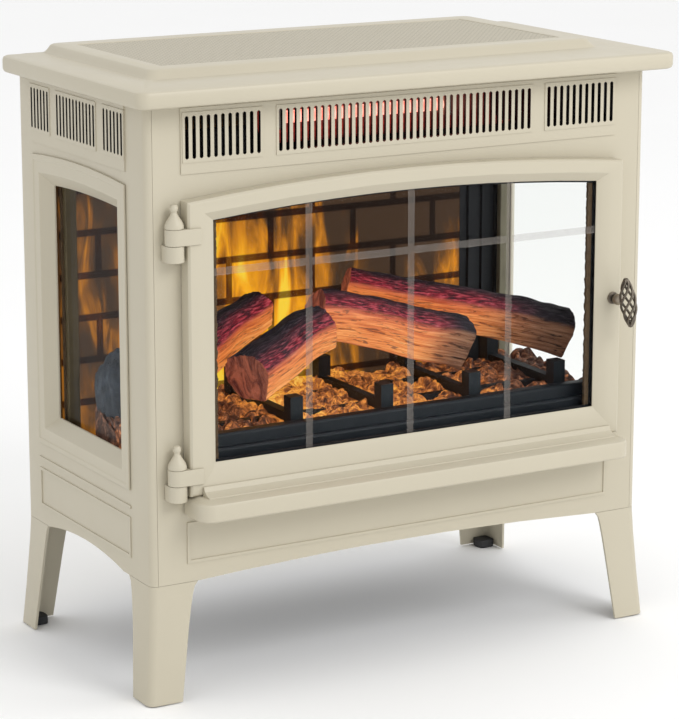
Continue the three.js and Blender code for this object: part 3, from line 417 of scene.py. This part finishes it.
# The left strip takes the darker copy of the paint: painted shade.
jamb("window_jamb_left", "side_panel_left", -1, shaded_jamb_paint)
jamb("window_jamb_right", "side_panel_right", 1, lit_jamb_paint)

# ------------------------------------------------------------------ hearth tray and grate
# A folded steel tray with a stepped bar along its front, and a cast-iron grate of five bars on it.
# Each bar ends in an upright prong. Both are black, and the castings show a fine sand texture.

iron = plain("cast_iron", (0.007, 0.01, 0.013), (0.013, 0.018, 0.024), 0.6, 500, 0.00025, specular=0.3)
rounded("grate", iron, 0.0009)
tray_paint = plain("tray_paint", (0.005, 0.008, 0.012), (0.009, 0.013, 0.018), 0.5, 400, specular=0.28)
rounded("hearth_tray", tray_paint, 0.0007)

# ------------------------------------------------------------------ logs
# Four castings of ceramic fibre, painted as split logs: charred bark with a crimson glow at its
# edge over a pale split face that lamps inside light orange. The sawn ends are dark and rough,
# and the logs lose their glow towards the right.


def ripples(u, v, seed, waves=9, finest=3.0):
    """A sum of sine waves over u and v, with random directions and falling heights, in -1 to 1."""
    random = np.random.default_rng(seed)
    total = np.zeros(np.broadcast(u, v).shape)
    for k in range(waves):
        rate = finest ** (k / (waves - 1))
        turn = random.uniform(0, 2 * np.pi)
        phase = random.uniform(0, 2 * np.pi)
        total += np.sin(rate * (u * np.cos(turn) + v * np.sin(turn)) + phase) / rate**0.6
    return total / np.abs(total).max()


def split_log(name, node, start, end, radii, face, slants, heat, seed):
    """A log along a line from start to end. Round the line, radius = 1 / (p-norm of the nearness
    of a flat split face, a flat underside and a circle), so its section is a rounded D. Ridges
    run along the bark. Each end is closed by shrinking rows and cut at a slant."""
    start, end = np.array(start) / 1000, np.array(end) / 1000
    length = np.linalg.norm(end - start)
    along = (end - start) / length
    side = np.cross([0, 0, 1], along)
    side /= np.linalg.norm(side)
    up = np.cross(along, side)
    body = np.linspace(0, 1, 72)
    shrink = np.array([0.02, 0.35, 0.7, 0.93, 0.985])
    s = np.concatenate([np.zeros(5), body, np.ones(5)])[:, None]
    full = np.concatenate([shrink, np.ones(72), shrink[::-1]])[:, None]
    cut = np.concatenate([np.ones(5), np.zeros(72), np.ones(5)])[:, None]
    t = np.linspace(0, 2 * np.pi, 96, endpoint=False)[None, :]
    radius = (radii[0] + (radii[1] - radii[0]) * s) / 1000
    power = 16
    near = 1.0
    for angle, depth in ((face, 0.70), (270, 0.78), (face - 130, 0.9)):
        near = near + (np.maximum(np.cos(t - np.radians(angle)), 0) / depth) ** power
    section = near ** (-1 / power)
    off_face = np.abs((t - np.radians(face) + np.pi) % (2 * np.pi) - np.pi)
    bark = np.clip((off_face - np.radians(44)) / 0.12, 0, 1) * np.clip((np.sin(t) + 0.75) * 4, 0, 1)
    flow = s * length * 1000
    ridges = ripples(t * 22, flow * 0.07, seed, 8, 3.5) * 0.0016
    ridges = ridges + ripples(t * 7, flow * 0.12, seed + 1) * 0.0016
    grain = ripples(t * 40, flow * 0.03, seed + 2, 7, 3) * 0.0004
    grain = grain + ripples(t * 3, flow * 0.06, seed + 3) * 0.0009
    bow = np.sin(np.pi * s) * 0.003 + ripples(s * 5, s * 3, seed + 4) * 0.002
    reach = (radius * section + bark * ridges + (1 - bark) * grain) * full
    across = reach * np.cos(t)
    rise = reach * np.sin(t)
    slant = np.where(s < 0.5, slants[0] * (1 - s) ** 6, slants[1] * s**6)
    chipped = cut * ripples(across * 260, rise * 260, seed + 5, 8, 4) * 0.0012
    shift = s * length + slant * across + chipped * np.where(s < 0.5, -1, 1)
    shift = shift + (1 - full) * 0.0015 * np.where(s < 0.5, -1, 1)
    points = start + along * shift[..., None] + side * across[..., None] + up * (rise + bow)[..., None]
    values = {
        "bark": bark,
        "edge": np.exp(-(((off_face - np.radians(56)) / 0.36) ** 2)),
        "cut": cut,
        "flow": flow,
        "girth": t * radius * 1000,
        "warmth": np.interp(s, *zip(*heat)),
        "underside": -np.sin(t) * 0.5 + 0.5,
    }
    piece = settle(skin(name, points, values, 35), wood, node)
    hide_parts(node)
    return piece


wood = Finish("painted_split_wood")
bark, edge, cut = (wood.attribute(key) for key in ("bark", "edge", "cut"))
flow, around, heat, low = (wood.attribute(key) for key in ("flow", "girth", "warmth", "underside"))
char = wood.noise(1, 5, 0.65, at=wood.join(flow * 0.09, around * 0.5))
fibre = wood.noise(1, 6, 0.6, distortion=0.6, at=wood.join(flow * 0.02, around * 0.32))
crack = wood.noise(1, 4, 0.6, distortion=0.8, at=wood.join(flow * 0.045, around * 0.28)).rise(0.56, 0.62)
blotch = wood.noise(26, 4, 0.6)
splinter = wood.noise(70, 5, 0.7, distortion=1.2, stretch=(1, 1, 0.35))
glow = heat * (0.62 + 0.5 * blotch)
bark_shades = [
    (0.3, (0.004, 0.003, 0.005)),
    (0.52, (0.022, 0.016, 0.024)),
    (0.66, (0.075, 0.062, 0.08)),
    (0.8, (0.2, 0.17, 0.2)),
]
bark_paint = wood.ramp(char, bark_shades)
face_shades = [
    (0.25, (0.05, 0.02, 0.012)),
    (0.45, (0.19, 0.085, 0.048)),
    (0.6, (0.3, 0.15, 0.085)),
    (0.8, (0.42, 0.26, 0.17)),
]
face_paint = wood.ramp(fibre, face_shades)
cracked = wood.mix(crack * (1.15 - heat), face_paint, (0.03, 0.014, 0.01))
cut_paint = wood.mix(splinter.rise(0.3, 0.7), (0.05, 0.02, 0.014), (0.26, 0.13, 0.08))
hot_shades = [
    (0.2, (0.3, 0.035, 0.012)),
    (0.4, (0.66, 0.12, 0.025)),
    (0.56, (0.88, 0.24, 0.04)),
    (0.75, (1.0, 0.42, 0.1)),
]
hot_face = wood.ramp(fibre * 0.7 + low * 0.32 + blotch * 0.16 - 0.08, hot_shades)
red_shades = [
    (0.35, (0.03, 0.0, 0.003)),
    (0.5, (0.3, 0.008, 0.02)),
    (0.62, (0.7, 0.05, 0.07)),
    (0.78, (0.95, 0.3, 0.25)),
]
ember_red = wood.ramp(char, red_shades)
on_bark = bark * (1 - cut)
redder = wood.mix(edge.rise(0.25, 0.9) * 0.75, hot_face, (0.5, 0.03, 0.025))
split = wood.mix(crack * 0.8, redder, (0.07, 0.006, 0.005))
ends = wood.mix(splinter.rise(0.35, 0.68), (0.05, 0.006, 0.008), (0.34, 0.07, 0.035))
face_light = wood.mix((glow * 1.25).rise(0.12, 0.95), (0.012, 0.004, 0.002), wood.mix(cut, split, ends))
patchy = edge * (glow * 1.3).rise(0.15, 0.9) * (blotch * 0.5 + char * 0.7).rise(0.42, 0.66)
bark_light = wood.mix(patchy * 0.95, (0.0, 0.0, 0.0), ember_red)
wood.surface(
    {
        "Base Color": wood.mix(on_bark, wood.mix(cut, cracked, cut_paint), bark_paint),
        "Roughness": 0.55 + 0.3 * char,
        "Specular IOR Level": 0.3,
        "Emission Color": wood.mix(on_bark, face_light, bark_light),
        "Emission Strength": 0.72,
        "Normal": wood.bump(char * bark + fibre * (1 - bark) - crack * 0.5, 0.0018, 1.0),
    }
)
warm = [(0, 1), (1, 1)]
cooling = [(0, 1), (0.45, 0.95), (0.75, 0.3), (1, 0.0)]
left = ((-206, -38, 296), (-91, 10, 341), (28, 22))
split_log("left_log", "log_left", *left, 200, (0.2, 0.0), warm, 3)
front = ((-153, -84, 297), (-60, -64, 333), (30, 27))
split_log("front_log", "log_front", *front, 205, (-0.15, 0.1), warm, 11)
ending = [(0, 1), (0.6, 1), (0.85, 0.35), (1, 0)]
middle = ((-61, -46, 342), (98, -56, 298), (28, 30))
split_log("middle_log", "log_centre", *middle, 196, (0.1, -0.25), ending, 19)
back = ((12, 20, 349), (234, -48, 291), (23, 29))
split_log("back_log", "log_back", *back, 200, (0.1, -0.1), cooling, 27)

# ------------------------------------------------------------------ ember bed
# A moulding of translucent resin in the shape of a heap of crumbling embers. Lamps under it make
# the hollows glow, most of all under the middle log, and its crust is sprayed brown and black.


def ember_heap():
    """Height over the tray = a slow swell + a dome at the nearest of many scattered points, whose
    height falls with the square of the distance, + fine ripples."""
    low, high = (np.array(corner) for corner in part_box("ember_bed"))
    random = np.random.default_rng(5)
    x = np.linspace(low[0], high[0], 250)[:, None]
    y = np.linspace(low[1], high[1] - 0.001, 76)[None, :]
    seeds = np.stack([random.uniform(low[0], high[0], 620), random.uniform(low[1], high[1], 620)], -1)
    lift = random.uniform(0.2, 1.0, 620)
    gap = (x[..., None] - seeds[:, 0]) ** 2 + (y[..., None] - seeds[:, 1]) ** 2
    nearest = gap.argmin(-1)
    dome = np.clip(1 - gap.min(-1) / 0.00013, 0, 1)
    swell = 0.2385 + 0.06 * (y + 0.07) + ripples(x * 40, y * 55, 8) * 0.004
    z = swell + dome * lift[nearest] * 0.0125 + ripples(x * 700, y * 700, 9, 8, 4) * 0.0011
    x, y = np.broadcast_arrays(x, y)
    top = np.stack([x, y, z], -1)
    foot = top.copy()
    foot[..., 2] = low[2]
    return skin("ember_heap", np.concatenate([top, foot[:, ::-1]], 1), None, 60)


embers = Finish("glowing_embers")
x, y = embers.axis("X"), embers.axis("Y")
crumb = embers.noise(75, 7, 0.72, distortion=1.6)
patch = embers.noise(17, 3, 0.5)
spread = 1 - x.size().rise(0.05, 0.25)
heat_here = crumb * 2.3 + patch * 1.1 + spread * 0.34 - 1.55
crust = [(0.3, (0.012, 0.007, 0.006)), (0.5, (0.1, 0.048, 0.03)), (0.72, (0.36, 0.24, 0.17))]
embers.surface(
    {
        "Base Color": embers.ramp(crumb, crust),
        "Roughness": 0.6 + 0.3 * crumb,
        "Emission Color": embers.ramp(
            heat_here,
            [
                (0.08, (0.01, 0.003, 0.002)),
                (0.28, (0.11, 0.03, 0.01)),
                (0.48, (0.5, 0.15, 0.03)),
                (0.7, (0.95, 0.36, 0.04)),
                (0.9, (1.0, 0.6, 0.1)),
            ],
        ),
        "Emission Strength": 0.8,
        "Normal": embers.bump(crumb, 0.004, 1.0),
    }
)
bed = settle(ember_heap(), embers, "ember_bed")
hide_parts("ember_bed")

# ------------------------------------------------------------------ coal lump
# One big lump of blue-grey coal at the left end, cast in ceramic fibre with broken, faceted sides.


def coal():
    """A ball stretched to the lump's box; its radius steps in and out by clipped ripples."""
    low, high = (np.array(corner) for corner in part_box("coal_lump"))
    v = np.linspace(0.02, np.pi - 0.02, 90)[:, None]
    t = np.linspace(0, 2 * np.pi, 130, endpoint=False)[None, :]
    way = np.stack([np.sin(v) * np.cos(t), np.sin(v) * np.sin(t), np.cos(v) + 0 * t], -1)
    rough = ripples(way[..., 0] * 5 + way[..., 2] * 3, way[..., 1] * 5, 41, 9, 5)
    steps = np.round(rough * 3) / 3 * 0.6 + rough * 0.4
    fine = ripples(way[..., 0] * 28 + way[..., 2] * 17, way[..., 1] * 28, 42, 9, 4)
    reach = 0.93 + 0.09 * steps + 0.02 * fine
    return skin("coal", (low + high) / 2 + way * reach[..., None] * (high - low) / 2, None, 25)


slate = Finish("blue_grey_coal")
dust = slate.noise(55, 6, 0.7)
greys = [(0.3, (0.008, 0.011, 0.017)), (0.55, (0.032, 0.043, 0.062)), (0.78, (0.13, 0.16, 0.2))]
slate.surface(
    {
        "Base Color": slate.ramp(dust, greys),
        "Roughness": 0.5 + 0.35 * dust,
        "Normal": slate.bump(dust, 0.006, 1.0),
    }
)
lump = settle(coal(), slate, "coal_lump")
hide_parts("coal_lump")

# ------------------------------------------------------------------ flame effect and electrics
# Behind the screen a tinsel rotor turns in front of a strip of amber lamps. The board, the motors
# and the buttons are bought parts in zinc plate, moulded plastic and green circuit board.

tinsel = plain("rotor_aluminium", (0.72, 0.73, 0.75), (0.6, 0.61, 0.63), 0.22, 900, 0.00004, 1.0)
zinc = plain("zinc_plate", (0.46, 0.46, 0.45), (0.36, 0.36, 0.37), 0.38, 700, 0.00004, 1.0)
board = plain("green_board", (0.012, 0.09, 0.035), (0.02, 0.13, 0.05), 0.4, 1200, 0.00003)
key_grey = plain("button_grey", (0.075, 0.075, 0.08), (0.1, 0.1, 0.105), 0.5, 1500)
dress(tinsel, "flame_rotor", "blower_wheel")
dress(zinc, "rotor_motor", "blower_motor")
dress(board, "control_board")
dress(moulded, "rotor_bearing", "catch_magnet")
rounded("control_panel", moulded, 0.0006)
rounded("cord_gland", moulded, 0.0005)
for name in ("power_button", "flame_button", "heat_button"):
    rounded(name, key_grey, 0.0009, 3)
lamps = Finish("amber_lamps")
z = lamps.axis("Z")
glowing = (z - 0.2137).rise(0.0, 0.0004)
lamps.surface(
    {
        "Base Color": lamps.mix(glowing, (0.75, 0.72, 0.62), (0.9, 0.6, 0.2)),
        "Roughness": 0.4 + 0.2 * lamps.noise(300),
        "Emission Color": lamps.mix(glowing, (0.0, 0.0, 0.0), (1.0, 0.42, 0.1)),
        "Emission Strength": 2.0,
    }
)
dress(lamps, "led_strip")

# ------------------------------------------------------------------ infrared heater
# A quartz tube with a glowing coil shines through the middle vent, in two steatite holders and in
# front of a polished trough. A cross-flow blower in a black scroll pushes air past it.

quartz = Finish("glowing_quartz")
x = quartz.axis("X")
coils = (x * (2 * math.pi / 0.0042)).sine() * 0.5 + 0.5
quartz.surface(
    {
        "Base Color": quartz.mix(coils, (0.9, 0.3, 0.25), (1.0, 0.5, 0.42)),
        "Roughness": 0.2 + 0.1 * coils,
        "Emission Color": quartz.mix(coils, (1.0, 0.23, 0.16), (1.0, 0.42, 0.33)),
        "Emission Strength": 1.6,
    }
)
dress(quartz, "quartz_tube")
steatite = plain("steatite", (0.6, 0.57, 0.5), (0.5, 0.47, 0.4), 0.65, 500)
for name in ("tube_holder_left", "tube_holder_right"):
    rounded(name, steatite, 0.0008)
# The polished trough is coloured red and given a faint red emission: painted glow of the tube's light.
trough = Finish("red_trough_painted_glow")
tone_and_glow = trough.noise(30, 3)
trough.surface(
    {
        "Base Color": trough.mix(tone_and_glow, (0.34, 0.1, 0.085), (0.2, 0.06, 0.055)),
        "Metallic": 0.8,
        "Roughness": 0.3 + 0.2 * tone_and_glow,
        "Emission Color": trough.mix(tone_and_glow, (0.13, 0.012, 0.009), (0.05, 0.005, 0.004)),
        "Emission Strength": 1.0,
    }
)
dress(trough, "heater_reflector")
dress(black_paint, "blower_housing")

# ------------------------------------------------------------------ door
# The door is a cast frame with a sloping inner edge, and a moulded ledge screwed under it. Its
# two hinge straps turn on pins with turned finials, which stand in knuckles on the cabinet.

rounded("door_frame", enamel, 0.0011, 3)
rounded("door_ledge", enamel, 0.0013, 3)
for place in ("upper", "lower"):
    rounded(f"hinge_strap_{place}", enamel, 0.0008)
    rounded(f"cabinet_knuckle_{place}", enamel, 0.0008)


def finial(node):
    """A pin and its finial: a profile of radius over height, turned round the pin's axis."""
    low, high = (np.array(corner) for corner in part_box(node))
    span = high[2] - low[2]
    radius = [3.0, 3.0, 8.6, 9.0, 9.0, 8.3, 6.9, 5.0, 3.5, 2.7, 2.7, 3.5, 3.9, 3.5, 2.3]
    rise = [0.0, 30.9, 31.0, 31.6, 33.6, 36.2, 38.9, 41.8, 44.2, 45.9, 46.8, 48.0, 50.0, 52.0, 53.6]
    full_height = 54.4
    radius, height = np.array(radius) / 1000, low[2] + np.array(rise) / full_height * span
    t = np.linspace(0, 2 * np.pi, 40, endpoint=False)
    centre = (low + high) / 2
    x = centre[0] + radius[:, None] * np.cos(t)
    y = centre[1] + radius[:, None] * np.sin(t)
    points = np.stack([x, y, np.broadcast_to(height[:, None], x.shape)], -1)
    return skin(f"{node}_turned", points, None, 50)


for name in ("hinge_pin_upper", "hinge_pin_lower"):
    pin = settle(finial(name), enamel, name)
    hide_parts(name)
    soft = pin.modifiers.new("soft turning", "BEVEL")
    soft.width, soft.segments, soft.limit_method = 0.0004, 2, "ANGLE"

# ------------------------------------------------------------------ glass
# Clear panes: the door's has V-grooves ground into it that look like a lattice, and the side
# panes are plain. A strip of brown fibre gasket, cut unevenly, seals each of them from behind.


def pane_finish(name, body, shine):
    """Glass that lets light straight through, tints it a little, and mirrors what grazes it."""
    made = Finish(name)
    smear = made.noise(12, 3)
    clear = made.node("ShaderNodeBsdfTransparent", None, {"Color": body})
    shiny = made.node("ShaderNodeBsdfAnisotropic", None, {"Color": (1, 1, 1), "Roughness": 0.03})
    angle = made.node("ShaderNodeLayerWeight", None, {"Blend": 0.12}, out=0)
    share = angle * shine * (0.9 + 0.2 * smear) + shine * 0.02
    made.show(made.node("ShaderNodeMixShader", None, {0: share, 1: clear, 2: shiny}))
    return made


clear_glass = pane_finish("clear_glass", (0.985, 0.99, 0.985), 0.05)
dress(pane_finish("side_glass", (0.98, 0.985, 0.98), 0.022), "side_glass_left", "side_glass_right")
ground = Finish("ground_groove")
frost = ground.noise(90, 3)
x, z = ground.axis("X"), ground.axis("Z")
cross_groove, upright_grooves = 0.417, (-0.113, 0.0, 0.113)
aside = (z - cross_groove).size()
for line in upright_grooves:
    aside = aside.math("MINIMUM", aside, (x - line).size())
rim = aside.within(0.0033, 0.0046)
clouded = ground.mix(frost.rise(0.35, 0.65), (0.2, 0.16, 0.13), (0.62, 0.55, 0.5))
tone = ground.mix(rim, (0.3, 0.27, 0.24), clouded)
haze = ground.node("ShaderNodeBsdfPrincipled", None, {"Base Color": tone, "Roughness": 0.3})
open_part = ground.node("ShaderNodeBsdfTransparent", None, {"Color": (0.93, 0.93, 0.93)})
veiled = 0.2 + 0.1 * frost + 0.22 * rim
ground.show(ground.node("ShaderNodeMixShader", None, {0: veiled, 1: open_part, 2: haze}))
pane = rounded("door_glass", clear_glass, 0.0001, 1)
pane.modifiers.clear()
pane.data.materials.append(ground.material)
for face in pane.data.polygons:
    slope = abs(face.normal.y)
    face.material_index = int(0.5 < slope < 0.9995)
    face.use_smooth = False

felt = Finish("fibre_gasket")
fluff = felt.noise(260, 4, 0.7)
felt.surface(
    {
        "Base Color": felt.mix(fluff, (0.028, 0.016, 0.008), (0.13, 0.08, 0.038)),
        "Roughness": 0.85 + 0.1 * fluff,
        "Normal": felt.bump(fluff, 0.001, 0.9),
    }
)


def gasket(name, node, flat, near, far, edge, width, foot, head, seed):
    """An upright strip behind a pane, from near to far on the flat axis. It starts at edge, and
    its free side wanders by width x (1 + 0.2 x ripples of the height)."""
    z = np.linspace(foot, head, 160)
    free = edge + width * (1 + 0.2 * ripples(z * 700, z * 0, seed, 8, 9))
    grid = np.zeros((160, 4, 3))
    grid[..., 2] = z[:, None]
    grid[..., 1 - flat] = np.stack([np.full(160, edge), free, free, np.full(160, edge)], -1)
    grid[..., flat] = [near, near, far, far]
    settle(skin(name, grid, None, 30), felt, node)


low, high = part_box("door_glass")
for name, side in (("left", -1), ("right", 1)):
    back = high[1] + 0.0005
    faces, strip = (back, back + 0.0032), (side * 0.2141, side * -0.005)
    gasket(f"door_gasket_{name}", "glass_retainer", 1, *faces, *strip, 0.2355, 0.4635, 61)
    inner = side * 0.2638
    faces = (inner, inner - side * 0.0022)
    for where, *strip in (("front", -0.0548, 0.0065), ("back", 0.1045, -0.0022)):
        title = f"side_gasket_{name}_{where}"
        gasket(title, f"side_glass_{name}", 0, *faces, *strip, 0.2275, 0.4725, 62)

# ------------------------------------------------------------------ handle
# A birdcage handle of six bars, forged and twisted three quarters of a turn between two small
# balls, on a turned post. It is antique bronze, worn bright where hands touch it.

bronze = Finish("antique_bronze")
patina = bronze.noise(260, 4, 0.6)
worn = bronze.node("ShaderNodeNewGeometry", out=7).rise(0.5, 0.62)
bronze.surface(
    {
        "Base Color": bronze.mix(worn * 0.7 + patina * 0.1, (0.035, 0.028, 0.022), (0.5, 0.43, 0.34)),
        "Metallic": 0.9,
        "Roughness": 0.34 + 0.2 * patina,
        "Normal": bronze.bump(patina, 0.0002, 0.6),
    }
)


def twisted_bar(turn, low, high):
    """One bar: its middle line winds round a leaning axis at a radius of sin(pi s), and its
    section is a circle in the plane across that line."""
    centre = (low + high) / 2
    length = (high - low)[2] * 0.93
    s = np.linspace(0, 1, 60)[:, None]
    angle = turn + np.radians(230) * s
    spread = 0.0012 + 0.0066 * np.sin(np.pi * s) ** 0.8
    lean = -(s - 0.5) * length * 0.15
    x = centre[0] + lean + spread * np.cos(angle)
    y = centre[1] + spread * np.sin(angle)
    z = centre[2] + (s - 0.5) * length
    line = np.concatenate([x, y, z], -1)
    ahead = np.gradient(line, axis=0)
    ahead /= np.linalg.norm(ahead, axis=1, keepdims=True)
    out = np.concatenate([np.cos(angle), np.sin(angle), 0 * angle], -1)
    across = np.cross(ahead, out)
    across /= np.linalg.norm(across, axis=1, keepdims=True)
    out = np.cross(across, ahead)
    t = np.linspace(0, 2 * np.pi, 12, endpoint=False)
    ring = np.cos(t)[None, :, None] * out[:, None] + np.sin(t)[None, :, None] * across[:, None]
    return line[:, None] + 0.00125 * ring


def ball(centre, radius, squash=1.0):
    """Rings of a ball round a centre, squashed in z."""
    v = np.linspace(0.05, np.pi - 0.05, 16)[:, None]
    t = np.linspace(0, 2 * np.pi, 20, endpoint=False)[None, :]
    x, y, z = np.sin(v) * np.cos(t), np.sin(v) * np.sin(t), squash * np.cos(v) + 0 * t
    return np.array(centre) + radius * np.stack([x, y, z], -1)


low, high = (np.array(corner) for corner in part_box("handle_cage"))
middle = (low + high) / 2
parts = [skin("bar", twisted_bar(k * math.pi / 3, low, high)) for k in range(6)]
for up in (1, -1):
    where = middle + np.array([-up * 0.0035, 0, up * 0.0228])
    parts.append(skin("ball", ball(where, 0.0031, 0.95)))
    parts.append(skin("collar", ball(where - [-up * 0.0003, 0, up * 0.0036], 0.0029, 0.4)))
shape = bmesh.new()
for part in parts:
    shape.from_mesh(part.data)
    bpy.data.objects.remove(part)
mesh = bpy.data.meshes.new("birdcage_handle")
shape.to_mesh(mesh)
shape.free()
mesh.shade_smooth()
cage = settle(bpy.data.objects.new("birdcage_handle", mesh), bronze, "handle_cage")
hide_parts("handle_cage")
rounded("handle_post", bronze, 0.0003)

# ------------------------------------------------------------------ room, light and camera
# A plain pale floor in an even white room, with two broad soft lights: the key from the front
# and a weak fill from the right. The camera stands in front, left of the middle.

floor_mesh = bpy.data.meshes.new("floor")
half = 30
corners = [(-half, -half, 0), (half, -half, 0), (half, half, 0), (-half, half, 0)]
floor_mesh.from_pydata(corners, [], [(0, 1, 2, 3)])
floor = bpy.data.objects.new("floor", floor_mesh)
pale = Finish("pale_floor")
whites = pale.mix(pale.noise(2), (0.93, 0.93, 0.925), (0.95, 0.95, 0.95))
pale.surface({"Base Color": whites, "Roughness": 0.8})
floor.data.materials.append(pale.material)
scene.collection.objects.link(floor)

room = bpy.data.worlds.new("white_room")
room.use_nodes = True
backdrop = room.node_tree.nodes["Background"]
backdrop.inputs["Color"].default_value = (1, 1, 1, 1)
backdrop.inputs["Strength"].default_value = 0.97
scene.world = room


def soft_light(name, place, aim, size, watts):
    """A square lamp, size metres wide, aimed at a point."""
    lamp = bpy.data.lights.new(name, "AREA")
    lamp.size, lamp.energy = size, watts
    made = bpy.data.objects.new(name, lamp)
    made.location = place
    made.rotation_euler = (Vector(aim) - Vector(place)).to_track_quat("-Z", "Y").to_euler()
    scene.collection.objects.link(made)


soft_light("key", (0.9, -3.0, 2.7), (0, 0, 0.3), 1.6, 46)
soft_light("fill", (2.4, -1.4, 1.4), (0, 0, 0.3), 1.6, 10)

camera = bpy.data.objects.new("camera", bpy.data.cameras.new("camera"))
camera.data.lens = 143.2
camera.data.sensor_width = 36
camera.location = (-1.4081, -2.4478, 0.9492)
bearing, tilt = math.radians(29.814), math.radians(13.3)
ahead = Vector((math.sin(bearing) * math.cos(tilt), math.cos(bearing) * math.cos(tilt), -math.sin(tilt)))
camera.rotation_euler = ahead.to_track_quat("-Z", "Y").to_euler()
camera.data.clip_end = 100
scene.collection.objects.link(camera)
scene.camera = camera
scene.view_settings.view_transform = "Standard"
